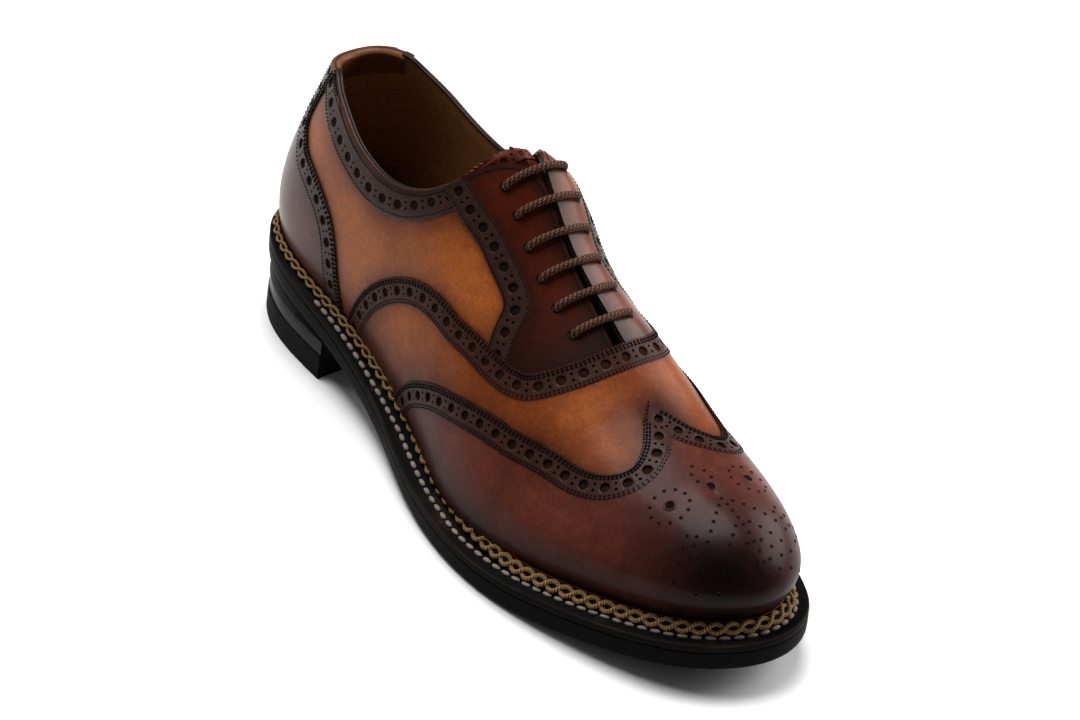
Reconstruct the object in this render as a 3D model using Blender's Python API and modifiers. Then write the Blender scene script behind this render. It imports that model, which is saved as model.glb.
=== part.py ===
"""Right-foot full-brogue oxford shoe with a welted sole, standing on the floor.

Metres, +Z up, toe towards +X, inner side of the foot towards +Y. The tables below are in millimetres.
The shape of the upper is one surface: a wall section at each station of the sole outline, rising
from the feather edge on the welt to the top of the last. Every leather piece lies on that surface.
"""

import bmesh
import bpy
import numpy as np

MM = 0.001

# Sections round the shoe, from the back of the heel along the outer side to the toe and back along
# the inner side. sole_x, sole_y: sole outline. welt: width of the welt. top_x, top_y, top_z: top of
# the last. low_out, low_rise: how the wall leaves the feather edge. high_out, high_drop: how it
# arrives at the top.
SECTION_COLUMNS = ("sole_x", "sole_y", "welt", "top_x", "top_y", "top_z",
                   "low_out", "low_rise", "high_out", "high_drop")
SECTIONS = (
    ("heel_back",          1.4,   0.0, 5.1,  22,  2, 112.0,  9.5, 24,  5, 22),
    ("heel_corner_outer", 10.0, -24.0, 6.0,  28.5, -9.5, 113.5,  8.0, 22,  7, 22),
    ("heel_outer",        38.0, -37.6, 7.6,  52, -17, 119.0,  4.0, 24,  8, 26),
    ("shank_outer",       80.0, -39.0, 9.0,  92, -15, 121.0,  3.0, 26, 14, 26),
    ("waist_outer",      118.0, -42.5, 10.0, 128,  7, 120.5,  4.0, 25, 32,  8),
    ("instep_outer",     151.3, -50.6, 11.2, 158,  8,  99.5,  5.0, 20, 34,  5),
    ("ball_outer",       186.0, -56.0, 9.0, 188,  9,  79.0,  5.0, 16, 34,  2),
    ("tread_outer",      216.0, -54.5, 9.5, 212,  9,  64.0,  5.0, 15, 33,  1),
    ("vamp_outer",       245.0, -46.5, 9.5, 233,  8,  57.0,  5.0, 16, 30,  0),
    ("toe_outer",        272.0, -35.0, 9.5, 250,  7,  55.5,  6.5, 18, 26,  0),
    ("tip_outer",        293.0, -19.5, 9.5, 258,  6,  54.5,  8.0, 19, 25,  0),
    ("tip",              304.0,   4.0, 9.5, 261,  6,  54.0,  9.0, 19, 27,  0),
    ("tip_inner",        297.0,  25.5, 9.5, 258,  6,  54.5, 10.0, 19, 25,  0),
    ("toe_inner",        276.0,  39.0, 9.5, 250,  7,  55.5, 10.0, 19, 27,  0),
    ("vamp_inner",       248.0,  47.0, 9.5, 233,  8,  57.0,  9.0, 20, 31,  0),
    ("tread_inner",      218.0,  49.0, 9.5, 212,  9,  64.0,  8.0, 21, 33,  1),
    ("ball_inner",       188.0,  45.5, 8.5, 188,  9,  79.0,  8.0, 25, 33,  2),
    ("instep_inner",     155.0,  36.0, 7.5, 158,  8,  99.5,  8.0, 30, 32,  3),
    ("waist_inner",      120.0,  30.5, 6.5, 128,  7, 120.5,  7.0, 34, 29,  4),
    ("shank_inner",       82.0,  32.0, 6.5,  92, 17, 121.0,  5.0, 28, 12, 26),
    ("heel_inner",        38.0,  36.0, 6.5,  52, 17, 117.5,  4.0, 24,  8, 26),
    ("heel_corner_inner", 10.0,  24.0, 6.0,  28.5, 11.5, 113.5,  8.0, 22,  7, 22),
)

# Height of the welt's top along the shoe: heel, arch, tread and toe spring.
WELT_TOP = (  # x, z
    (-12, 36.8), (30, 35.0), (75, 28.4), (105, 21.3), (135, 15.6), (165, 11.7),
    (195, 10.6), (220, 11.1), (245, 13.6), (270, 17.0), (306, 22.2),
)

# Places on the surface are a station (a row of SECTIONS and a fraction) and a rise (0 at the feather
# edge, 1 at the top of the last). The tables give the outer side, and the inner side mirrors them.
COLLAR = (  # station, rise of the collar and throat edge
    (0.0, 0.93), (1.0, 0.94), (1.55, 0.925), (1.7, 0.885), (2.0, 0.83), (2.4, 0.77), (2.75, 0.735),
    (3.05, 0.71), (3.3, 0.703), (3.55, 0.725), (3.75, 0.775), (3.9, 0.845), (4.02, 0.907),
    (4.12, 0.955), (4.25, 0.987), (5.0, 0.984), (5.6, 0.98), (5.95, 0.978), (6.15, 1.0),
)
THROAT_END = 6.15

# Leather pieces: a row runs across the piece, from its upper edge by a middle point to its foot.
PIECE_COLUMNS = ("edge_station", "edge_rise", "mid_station", "mid_rise", "foot_station", "foot_rise")
WING = (
    (3.86, 0.13, 3.95, 0.115, 4.05, 0.10), (4.10, 0.17, 4.22, 0.135, 4.35, 0.10),
    (4.80, 0.33, 4.85, 0.215, 4.90, 0.10),
    (5.60, 0.47, 5.65, 0.285, 5.70, 0.10), (6.20, 0.545, 6.25, 0.32, 6.30, 0.10),
    (6.85, 0.605, 6.90, 0.35, 6.95, 0.10), (7.20, 0.635, 7.30, 0.37, 7.40, 0.10),
    (7.50, 0.68, 7.65, 0.39, 7.75, 0.10), (7.70, 0.755, 7.88, 0.44, 8.00, 0.10),
    (7.75, 0.84, 8.00, 0.50, 8.15, 0.10), (7.60, 0.93, 8.12, 0.60, 8.30, 0.10),
    (7.35, 0.985, 8.23, 0.71, 8.50, 0.10), (7.20, 1.0, 8.36, 0.77, 8.65, 0.10),
    (7.70, 1.0, 8.60, 0.75, 8.90, 0.10), (8.30, 1.0, 8.90, 0.72, 9.20, 0.10),
    (8.90, 1.0, 9.25, 0.65, 9.50, 0.10), (9.50, 1.0, 9.65, 0.60, 9.80, 0.10),
    (10.0, 1.0, 10.10, 0.57, 10.20, 0.10), (10.5, 1.0, 10.55, 0.56, 10.60, 0.10),
    (11.0, 1.0, 11.0, 0.55, 11.0, 0.10),
)
VAMP = (
    (2.95, 0.11, 3.00, 0.095, 3.06, 0.08), (3.00, 0.18, 3.10, 0.13, 3.20, 0.08),
    (3.15, 0.30, 3.28, 0.175, 3.40, 0.08), (3.45, 0.40, 3.53, 0.225, 3.60, 0.08),
    (3.75, 0.455, 3.72, 0.265, 3.70, 0.08), (4.10, 0.495, 4.05, 0.345, 4.00, 0.20),
    (4.45, 0.53, 4.43, 0.405, 4.40, 0.28), (4.80, 0.57, 4.80, 0.46, 4.80, 0.355),
    (5.40, 0.63, 5.45, 0.56, 5.50, 0.485), (5.65, 0.66, 5.77, 0.595, 5.90, 0.535),
    (5.87, 0.71, 6.10, 0.64, 6.35, 0.585), (6.03, 0.78, 6.45, 0.70, 6.90, 0.635),
    (6.12, 0.83, 6.75, 0.755, 7.40, 0.69), (6.18, 0.88, 6.90, 0.82, 7.64, 0.77),
    (6.20, 0.92, 6.95, 0.88, 7.68, 0.84), (6.22, 0.96, 6.85, 0.945, 7.50, 0.935),
    (6.23, 0.985, 6.75, 0.985, 7.25, 0.988), (6.23, 1.0, 6.68, 1.0, 7.12, 1.0),
)
FACING = (
    (4.10, 0.925, 3.95, 0.845, 3.80, 0.765), (4.50, 0.968, 4.45, 0.83, 4.30, 0.675),
    (5.00, 0.967, 4.95, 0.84, 4.80, 0.69), (5.50, 0.965, 5.47, 0.835, 5.12, 0.70),
    (5.80, 0.962, 5.78, 0.83, 5.26, 0.68), (6.00, 0.96, 5.97, 0.83, 5.40, 0.67),
)
COUNTER = (
    (2.85, 0.11, 2.83, 0.095, 2.80, 0.08), (2.75, 0.23, 2.67, 0.14, 2.60, 0.08),
    (2.66, 0.325, 2.53, 0.19, 2.40, 0.08), (2.58, 0.415, 2.40, 0.23, 2.20, 0.08),
    (2.40, 0.478, 2.18, 0.26, 1.95, 0.08), (2.17, 0.527, 1.93, 0.29, 1.70, 0.08),
    (1.80, 0.555, 1.60, 0.30, 1.40, 0.08), (1.50, 0.60, 1.32, 0.32, 1.15, 0.08),
    (1.25, 0.68, 1.10, 0.36, 0.95, 0.08), (1.05, 0.76, 0.90, 0.40, 0.70, 0.08),
    (0.60, 0.79, 0.50, 0.42, 0.40, 0.08), (0.0, 0.79, 0.0, 0.42, 0.0, 0.08),
)
BAND_END = 3.67        # station where the collar band meets the facing
BAND_INSET = 0.015     # the band starts this rise below the collar edge
BAND_RISE = 0.115      # and is this wide

EYELET_FIRST = 4.27    # station of the top eyelet
EYELET_PITCH = 0.326   # stations from one eyelet to the next
EYELET_PAIRS = 6
EYELET_RISE = 0.868
EYELET_RADIUS = 2.5

WALL = 2.0             # leather and lining of the upper
PIECE_GAP = 0.7        # a leather piece above the upper
WING_GAP = 1.0         # the wing, which laps over the vamp
PIECE_LEATHER = 1.3    # thickness of a leather piece
WING_LEATHER = 1.5
LACE_RADIUS = 1.4
LACE_BAR = 3.6         # centre of a lace bar above the upper
LACE_RUN = -4.1        # centre of a hidden lace run, under the upper
LANE = 0.047           # rise between side-by-side hidden runs
TONGUE_DEPTH = 6.3     # outer face of the tongue below the upper's outer face
TONGUE_LEATHER = 2.2
TONGUE_TOP = 11.0      # how far the tongue stands above the top eyelets' row
TONGUE_DIP = 0.15      # and leans into the shoe there

MIDSOLE = 4.2          # thickness of the welt layer
SOLE_EDGE = 10.8       # midsole and outsole together
LAYER_GAP = 0.3
HEEL_BREAST = 72.0     # x of the heel's front face
HEEL_HOLLOW = 3.0      # how far the middle of that face is set back
HEEL_LAYERS = (  # name, top z (None is under the outsole), bottom z, inset at the top, at the bottom
    ("heel_seat", None, 17.0, 1.4, 0.8),
    ("heel_stack", 16.7, 10.3, 1.4, 1.0),
    ("heel_top_lift", 10.0, 0.0, 0.6, 0.2),
)
INSOLE_GAP = 0.6       # between the insole's edge and the upper's lining
INSOLE = 3.2
BRAID_CENTRE = 0.40    # of the welt's width, out from the feather edge
BRAID_HALF_WIDTH = 0.25
BRAID_HEIGHT = 2.4

FINISHES = {  # red, green, blue, roughness
    "upper": (0.30, 0.10, 0.035, 0.35), "wing_cap": (0.10, 0.022, 0.014, 0.3),
    "vamp": (0.28, 0.085, 0.026, 0.32), "facing_lateral": (0.12, 0.026, 0.014, 0.32),
    "facing_medial": (0.12, 0.026, 0.014, 0.32), "collar_band": (0.07, 0.022, 0.014, 0.4),
    "heel_counter": (0.10, 0.03, 0.02, 0.32), "tongue": (0.12, 0.025, 0.016, 0.4),
    "insole": (0.35, 0.2, 0.1, 0.55), "midsole": (0.012, 0.010, 0.009, 0.4),
    "outsole": (0.010, 0.009, 0.009, 0.55), "heel_seat": (0.012, 0.010, 0.009, 0.4),
    "heel_stack": (0.012, 0.010, 0.010, 0.25), "heel_top_lift": (0.010, 0.010, 0.010, 0.7),
    "welt_braid": (0.34, 0.22, 0.10, 0.7), "lace": (0.12, 0.05, 0.03, 0.8),
}


def cubic(knots, values, periodic=False):
    """Return the cubic spline through the rows of values at the knots."""
    t = np.asarray(knots, float)
    y = np.asarray(values, float)
    count = len(t)
    h = np.diff(t)
    matrix = np.zeros((count, count))
    right = np.zeros_like(y)
    for i in range(1, count - 1):
        matrix[i, i - 1:i + 2] = h[i - 1], 2 * (h[i - 1] + h[i]), h[i]
        right[i] = 6 * ((y[i + 1] - y[i]) / h[i] - (y[i] - y[i - 1]) / h[i - 1])
    if periodic:
        matrix[0, 0] = 2 * (h[0] + h[-1])
        matrix[0, 1] = h[0]
        matrix[0, count - 2] = h[-1]
        right[0] = 6 * ((y[1] - y[0]) / h[0] - (y[-1] - y[-2]) / h[-1])
        matrix[-1, 0] = 1
        matrix[-1, -1] = -1
    else:
        matrix[0, 0] = matrix[-1, -1] = 1
    bend = np.linalg.solve(matrix, right)

    def value(at):
        s = np.asarray(at, float)
        if periodic:
            s = np.mod(s - t[0], t[-1] - t[0]) + t[0]
        i = np.clip(np.searchsorted(t, s, side="right") - 1, 0, count - 2)
        a = t[i + 1] - s
        b = s - t[i]
        w = h[i]
        if y.ndim > 1:
            a, b, w = a[..., None], b[..., None], w[..., None]
        curve = bend[i] * a ** 3 + bend[i + 1] * b ** 3
        line = (y[i] / w - bend[i] * w / 6) * a + (y[i + 1] / w - bend[i + 1] * w / 6) * b
        return curve / (6 * w) + line

    return value


class Last:
    """The shoe's surface, from the section tables."""

    def __init__(self):
        table = np.array([row[1:] for row in SECTIONS])
        self.count = len(table)
        self.tip = self.count // 2
        ring = np.vstack([table, table[:1]])
        chords = np.sqrt(np.linalg.norm(np.diff(ring[:, :2], axis=0), axis=1))
        self.along = np.concatenate([[0], np.cumsum(chords)]) / chords.sum()
        self.row = cubic(self.along, ring, periodic=True)
        self.ridge = cubic(np.arange(self.tip + 1), table[:self.tip + 1, 3:6])
        self.collar = np.array(COLLAR)
        heights = np.array(WELT_TOP)
        self.welt_top = cubic(heights[:, 0], heights[:, 1])
        outline = self.outline(np.linspace(0, self.count, 400), 0.0)
        self.centre = np.append((outline.min(0) + outline.max(0)) / 2, 0.0)

    def parameter(self, station):
        return np.interp(np.mod(station, self.count), np.arange(self.count + 1), self.along)

    def outward(self, station):
        """Plan direction away from the shoe at a station."""
        u = self.parameter(station)
        step = (self.row(u + 1e-4) - self.row(u - 1e-4))[..., :2]
        side = np.stack([-step[..., 1], step[..., 0]], -1)
        return -side / np.linalg.norm(side, axis=-1)[..., None]

    def outline(self, station, inset):
        station = np.asarray(station, float)
        row = self.row(self.parameter(station))
        return row[..., :2] - self.outward(station) * np.asarray(inset)[..., None]

    def welt(self, station):
        return self.row(self.parameter(station))[..., 2]

    def mirrored(self, station):
        station = np.mod(station, self.count)
        return np.where(station > self.tip, self.count - station, station)

    def surface(self, station, rise):
        station, rise = np.broadcast_arrays(np.asarray(station, float), np.asarray(rise, float))
        row = self.row(self.parameter(station))
        out = np.concatenate([self.outward(station), np.zeros(station.shape + (1,))], -1)
        up = np.array([0.0, 0.0, 1.0])
        foot = row[..., :2] - out[..., :2] * row[..., 2:3]
        base = np.concatenate([foot, self.welt_top(foot[..., 0])[..., None]], -1)
        half = self.mirrored(station)
        blend = np.clip(half - 3.0, 0, 1)
        blend = (blend * blend * (3 - 2 * blend))[..., None]
        top = row[..., 3:6] * (1 - blend) + self.ridge(half) * blend
        low = base + out * row[..., 6:7] + up * row[..., 7:8]
        high = top + out * row[..., 8:9] - up * row[..., 9:10]
        v = rise[..., None]
        w = 1 - v
        return base * w ** 3 + 3 * low * v * w ** 2 + 3 * high * v ** 2 * w + top * v ** 3

    def normal(self, station, rise):
        station, rise = np.broadcast_arrays(np.asarray(station, float), np.asarray(rise, float))
        inside = np.clip(rise, 0.01, 0.975)
        along = self.surface(station + 0.02, inside) - self.surface(station - 0.02, inside)
        across = self.surface(station, inside + 0.01) - self.surface(station, inside - 0.01)
        normal = np.cross(along, across)
        normal = normal / np.linalg.norm(normal, axis=-1)[..., None]
        other = self.mirror_normal(station, inside)
        near = np.clip((rise - 0.9) / 0.1, 0, 1)[..., None] * (self.mirrored(station) > 4)[..., None]
        mixed = normal * (1 - near / 2) + other * near / 2
        return mixed / np.linalg.norm(mixed, axis=-1)[..., None]

    def mirror_normal(self, station, rise):
        across_station = self.count - station
        along = self.surface(across_station + 0.02, rise) - self.surface(across_station - 0.02, rise)
        across = self.surface(across_station, rise + 0.01) - self.surface(across_station, rise - 0.01)
        normal = np.cross(along, across)
        return normal / np.linalg.norm(normal, axis=-1)[..., None]

    def lifted(self, station, rise, height):
        """A point at a height above the surface."""
        height = np.asarray(height, float)
        return self.surface(station, rise) + self.normal(station, rise) * height[..., None]

    def collar_rise(self, station):
        return np.interp(self.mirrored(station), self.collar[:, 0], self.collar[:, 1])


LAST = Last()

# Stations of the upper's columns, from the back of the heel to the toe.
STEPS = np.concatenate([np.linspace(0, 2, 7)[:-1], np.linspace(2, 4, 7)[:-1],
                        np.linspace(4, 6, 7), [THROAT_END],
                        np.linspace(6.5, 8, 5), np.linspace(8, 11, 10)[1:]])
# Stations of the sole's layers.
SOLE_STEPS = np.concatenate([np.linspace(0, 2, 7)[:-1], np.linspace(2, 8, 14)[:-1],
                             np.linspace(8, 11, 9)])


def fresh_scene():
    """Empty the scene and return the collections for the parts and for the cutting tools."""
    for item in list(bpy.data.objects):
        bpy.data.objects.remove(item, do_unlink=True)
    parts = bpy.data.collections.new("oxford_shoe")
    tools = bpy.data.collections.new("cutters")
    for group in (parts, tools):
        bpy.context.scene.collection.children.link(group)
    tools.hide_render = True
    return parts, tools


def placed(points):
    """Table millimetres to scene metres, with the sole's box centred on the origin."""
    return (np.asarray(points) - LAST.centre) * MM


def finish(name):
    red, green, blue, roughness = FINISHES[name]
    material = bpy.data.materials.new(name)
    material.use_nodes = True
    shader = material.node_tree.nodes["Principled BSDF"]
    shader.inputs["Base Color"].default_value = (red, green, blue, 1)
    shader.inputs["Roughness"].default_value = roughness
    return material


def sheet(columns, rows, shape):
    """A grid whose corners run over 0..1 by 0..1, moved to shape(a, b)."""
    bm = bmesh.new()
    bmesh.ops.create_grid(bm, x_segments=columns, y_segments=rows, size=1)
    flat = np.array([vert.co[:2] for vert in bm.verts])
    moved = placed(shape(flat[:, 0] / 2 + 0.5, flat[:, 1] / 2 + 0.5))
    for vert, place in zip(bm.verts, moved):
        vert.co = place
    bmesh.ops.remove_doubles(bm, verts=bm.verts, dist=1e-5)
    return bm


def add_part(bm, name, parts):
    """Put a bmesh into the parts collection under its name, with its finish."""
    mesh = bpy.data.meshes.new(name)
    bm.to_mesh(mesh)
    bm.free()
    mesh.materials.append(finish(name))
    part = bpy.data.objects.new(name, mesh)
    parts.objects.link(part)
    return part


def face_outward(bm):
    """Turn the faces of an open sheet away from the middle of the shoe."""
    bm.normal_update()
    heart = np.array([0.0, 0.0, 0.03])
    score = 0.0
    for face in bm.faces:
        middle = np.array(face.calc_center_median())
        score += float(np.dot(np.array(face.normal), middle - heart)) * face.calc_area()
    if score < 0:
        bmesh.ops.reverse_faces(bm, faces=bm.faces)


def thicken(part, thickness, inward):
    solidify = part.modifiers.new("leather", "SOLIDIFY")
    solidify.thickness = thickness * MM
    solidify.offset = -1.0 if inward else 1.0
    solidify.use_even_offset = False
    solidify.use_rim = True
    return part


def upper(parts):
    """The hollow shell of the upper, sewn along the top of the vamp and toe."""
    half = len(STEPS) - 1
    stations = np.concatenate([STEPS, LAST.count - STEPS[::-1][1:]])

    def shape(a, b):
        station = stations[np.rint(a * 2 * half).astype(int)]
        top = LAST.collar_rise(station)
        rise = b * top
        base = LAST.surface(station, rise)
        base[:, 2] += LAYER_GAP * (1 - b)
        return base

    bm = sheet(2 * half, 9, shape)
    face_outward(bm)
    return thicken(add_part(bm, "upper", parts), WALL, inward=True)


def piece_point(table, place, across):
    """Station and rise at a place along a piece's table and across it (0 edge, 1 foot)."""
    rows = np.array(table)
    index = np.arange(len(rows))
    row = np.stack([np.interp(place, index, rows[:, k]) for k in range(6)], -1)
    edge = 2 * (across - 0.5) * (across - 1)
    middle = 4 * across * (1 - across)
    foot = 2 * across * (across - 0.5)
    station = edge * row[:, 0] + middle * row[:, 2] + foot * row[:, 4]
    rise = edge * row[:, 1] + middle * row[:, 3] + foot * row[:, 5]
    return station, rise


def piece(name, table, grid, gap, leather, parts, sides):
    """A leather piece on the surface: one side, or both sides joined along the middle."""
    span = len(table) - 1

    def shape(a, b):
        if sides == "both":
            place = (1 - np.abs(2 * a - 1)) * span
            other = a > 0.5
        else:
            place = a * span
            other = np.full(a.shape, sides == "inner")
        station, rise = piece_point(table, place, 1 - b)
        station = np.where(other, LAST.count - station, station)
        return LAST.lifted(station, rise, np.full(a.shape, gap))

    bm = sheet(*grid, shape)
    face_outward(bm)
    return thicken(add_part(bm, name, parts), leather, inward=False)


def collar_band(parts):
    """The perforated strip along the collar, from facing to facing round the heel."""
    half = STEPS[STEPS < BAND_END]
    stations = np.concatenate([-half[::-1], half[1:]])
    columns = len(stations) - 1

    def shape(a, b):
        station = stations[np.rint(a * columns).astype(int)]
        rise = LAST.collar_rise(station) - BAND_INSET - BAND_RISE * (1 - b)
        return LAST.lifted(station, rise, np.full(a.shape, PIECE_GAP))

    bm = sheet(columns, 3, shape)
    face_outward(bm)
    return thicken(add_part(bm, "collar_band", parts), PIECE_LEATHER, inward=False)


def tongue(parts):
    """The tongue: follows the throat from inside and stands above the facings at the top."""
    lowest, highest = 6.35, 4.2

    def under(station, w):
        side = np.where(w < 0, station, LAST.count - station)
        spread = np.interp(station, [4.2, 6.35], [0.22, 0.16])
        return LAST.lifted(side, 1 - np.abs(w) * spread, np.full(w.shape, -TONGUE_DEPTH))

    def shape(a, b):
        w = 2 * a - 1
        station = np.where(b < 0.75, lowest + (highest - lowest) * b / 0.75, highest)
        body = under(station, w)
        beyond = np.clip((b - 0.75) / 0.25, 0, 1) * TONGUE_TOP * (1 - 0.8 * w ** 2)
        lean = under(np.full(w.shape, highest), w * 0) - under(np.full(w.shape, highest + 0.3), w * 0)
        lean /= np.linalg.norm(lean, axis=-1)[:, None]
        lean[:, 2] -= TONGUE_DIP
        return body + lean * beyond[:, None]

    bm = sheet(10, 10, shape)
    face_outward(bm)
    return thicken(add_part(bm, "tongue", parts), TONGUE_LEATHER, inward=True)


def slab(name, loops, stations, across, parts, hollow=0.0):
    """A layer of the sole: rims given as (inset, height) from top to bottom, capped across."""
    count = len(stations)
    spread = np.linspace(0, 1, across + 1)
    bm = bmesh.new()

    def level(inset, height):
        outer = LAST.outline(stations, inset(stations))
        inner = LAST.outline(LAST.count - stations, inset(LAST.count - stations))
        grid = outer[:, None] * (1 - spread)[None, :, None] + inner[:, None] * spread[None, :, None]
        grid[-1, :, 0] -= hollow * 4 * spread * (1 - spread)
        heights = height(grid[..., 0])
        return placed(np.concatenate([grid, heights[..., None]], -1))

    grids = [level(*loop) for loop in loops]
    top = [[bm.verts.new(place) for place in line] for line in grids[0]]
    bottom = [[bm.verts.new(place) for place in line] for line in grids[-1]]
    for i in range(count - 1):
        for k in range(across):
            bm.faces.new((top[i][k], top[i + 1][k], top[i + 1][k + 1], top[i][k + 1]))
            bm.faces.new((bottom[i][k], bottom[i][k + 1], bottom[i + 1][k + 1], bottom[i + 1][k]))
    rim = [(i, 0) for i in range(count)] + [(count - 1, k) for k in range(1, across + 1)]
    rim += [(i, across) for i in range(count - 2, -1, -1)] + [(0, k) for k in range(across - 1, 0, -1)]
    rings = [[top[i][k] for i, k in rim]]
    for grid in grids[1:-1]:
        rings.append([bm.verts.new(grid[i, k]) for i, k in rim])
    rings.append([bottom[i][k] for i, k in rim])
    for upper_ring, lower_ring in zip(rings, rings[1:]):
        for j in range(len(rim)):
            n = (j + 1) % len(rim)
            bm.faces.new((upper_ring[j], lower_ring[j], lower_ring[n], upper_ring[n]))
    bmesh.ops.remove_doubles(bm, verts=bm.verts, dist=1e-5)
    bmesh.ops.dissolve_degenerate(bm, edges=bm.edges, dist=1e-6)
    bmesh.ops.recalc_face_normals(bm, faces=bm.faces)
    return add_part(bm, name, parts)


def constant(value):
    return lambda station: np.full(np.shape(station), float(value))


def below_welt(depth):
    return lambda x: LAST.welt_top(x) - depth


def tread(x):
    """The underside of the outsole: flat on the floor at the ball."""
    return np.maximum(LAST.welt_top(x) - SOLE_EDGE, 0.0)


def soles(parts):
    """Midsole, outsole and the layers of the heel."""
    stations = SOLE_STEPS
    slab("midsole", [(constant(0.8), below_welt(0)), (constant(0.1), below_welt(0.7)),
                     (constant(0.1), below_welt(3.4)), (constant(0.7), below_welt(MIDSOLE))],
         stations, 2, parts)
    slab("outsole", [(constant(0.7), below_welt(MIDSOLE + LAYER_GAP)),
                     (constant(0.0), below_welt(MIDSOLE + 1.0)),
                     (constant(0.2), lambda x: tread(x) + 1.4), (constant(1.6), tread)],
         stations, 2, parts)
    fine = np.linspace(0, 4, 400)
    breast = np.interp(HEEL_BREAST, LAST.outline(fine, 0.0)[:, 0], fine)
    round_heel = np.concatenate([np.linspace(0, 2, 8)[:-1], np.linspace(2, breast, 4)])
    for name, top, bottom, top_inset, bottom_inset in HEEL_LAYERS:
        upper_side = constant(top) if top is not None else below_welt(SOLE_EDGE + LAYER_GAP)
        slab(name, [(constant(top_inset), upper_side), (constant(bottom_inset), constant(bottom))],
             round_heel, 2, parts, hollow=HEEL_HOLLOW)


def insole(parts):
    """The footbed, inside the upper."""
    def edge(station):
        return LAST.welt(station) + WALL + INSOLE_GAP

    slab("insole", [(edge, below_welt(-LAYER_GAP - INSOLE)), (edge, below_welt(-LAYER_GAP))],
         SOLE_STEPS, 2, parts)


def welt_braid(parts):
    """The chain braid on the welt, as one low bead all the way round."""
    def shape(a, b):
        station = a * LAST.count
        welt = LAST.welt(station)
        turn = 2 * np.pi * b
        inset = welt * (1 - BRAID_CENTRE - BRAID_HALF_WIDTH * np.cos(turn))
        plan = LAST.outline(station, inset)
        height = LAST.welt_top(plan[:, 0]) + LAYER_GAP + BRAID_HEIGHT / 2 * (1 + np.sin(turn))
        return np.concatenate([plan, height[:, None]], -1)

    bm = sheet(60, 5, shape)
    bmesh.ops.recalc_face_normals(bm, faces=bm.faces)
    return add_part(bm, "welt_braid", parts)


def eyelet_station(pair, side):
    """Station of an eyelet: pair 1 is the lowest, pair 6 the highest."""
    station = EYELET_FIRST + EYELET_PITCH * (EYELET_PAIRS - pair)
    return station if side == "L" else LAST.count - station


def lace_end(pair, side, towards_rise, towards_station):
    """Points from the hidden run up through an eyelet to the start of its bar."""
    station = eyelet_station(pair, side)
    flow = towards_station if side == "L" else -towards_station
    rows = [(2.6 * flow, 0.0, LACE_RUN), (1.0 * flow, 0.0, LACE_RUN + 0.6),
            (0.1 * flow, 0.0, LACE_RUN + 2.2), (0.0, 0.1, 1.2),
            (0.0, 1.0, LACE_BAR - 0.7), (0.0, 2.6, LACE_BAR)]
    per_station = 11.0 / EYELET_PITCH
    per_rise = 95.0
    return [LAST.lifted(station + along / per_station, EYELET_RISE + inward / per_rise, height)
            for along, inward, height in rows]


def lace_bar(pair, first):
    """The visible bar over the throat, from one side to the other."""
    second = "R" if first == "L" else "L"
    points = [LAST.lifted(eyelet_station(pair, first), rise, LACE_BAR) for rise in (0.94, 0.985)]
    points += [LAST.lifted(eyelet_station(pair, second), rise, LACE_BAR) for rise in (0.985, 0.94)]
    return points


def lace_run(start, end, side, lane):
    """Hidden points between two eyelets of one side, shifted to a lane where they pass another."""
    first = eyelet_station(start, side)
    last = eyelet_station(end, side)
    shares = (0.5,) if lane == 0 else (0.25, 0.5, 0.75)
    return [LAST.lifted(first + (last - first) * share,
                        EYELET_RISE + lane * LANE * (1 if share == 0.5 else 0.55), LACE_RUN)
            for share in shares]


def lace(parts):
    """One lace laid in straight bars, from a hidden end under the top inner eyelet to the other."""
    bars = ((5, "R"), (3, "L"), (1, "R"), (2, "L"), (4, "R"), (6, "L"))
    runs = ((5, 3, "L", -1), (3, 1, "R", -1), (1, 2, "L", 0), (2, 4, "R", 1), (4, 6, "L", 1))
    points = []
    for order, (pair, first) in enumerate(bars):
        second = "R" if first == "L" else "L"
        came_from = -1.0 if order == 0 or pair < bars[order - 1][0] else 1.0
        goes_to = 1.0
        if order < len(runs):
            goes_to = 1.0 if bars[order + 1][0] < pair else -1.0
        entry = lace_end(pair, first, 1, came_from)
        leave = lace_end(pair, second, 1, goes_to)[::-1]
        if order == len(bars) - 1:
            leave = leave[:4]
        points += entry + lace_bar(pair, first) + leave
        if order < len(runs):
            points += lace_run(*runs[order])
    curve = bpy.data.curves.new("lace", "CURVE")
    curve.dimensions = "3D"
    curve.bevel_depth = LACE_RADIUS * MM
    curve.bevel_resolution = 2
    curve.use_fill_caps = True
    spline = curve.splines.new("POLY")
    spline.points.add(len(points) - 1)
    for knot, place in zip(spline.points, placed(np.array(points))):
        knot.co = (*place, 1.0)
    curve.materials.append(finish("lace"))
    part = bpy.data.objects.new("lace", curve)
    parts.objects.link(part)
    return part


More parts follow.
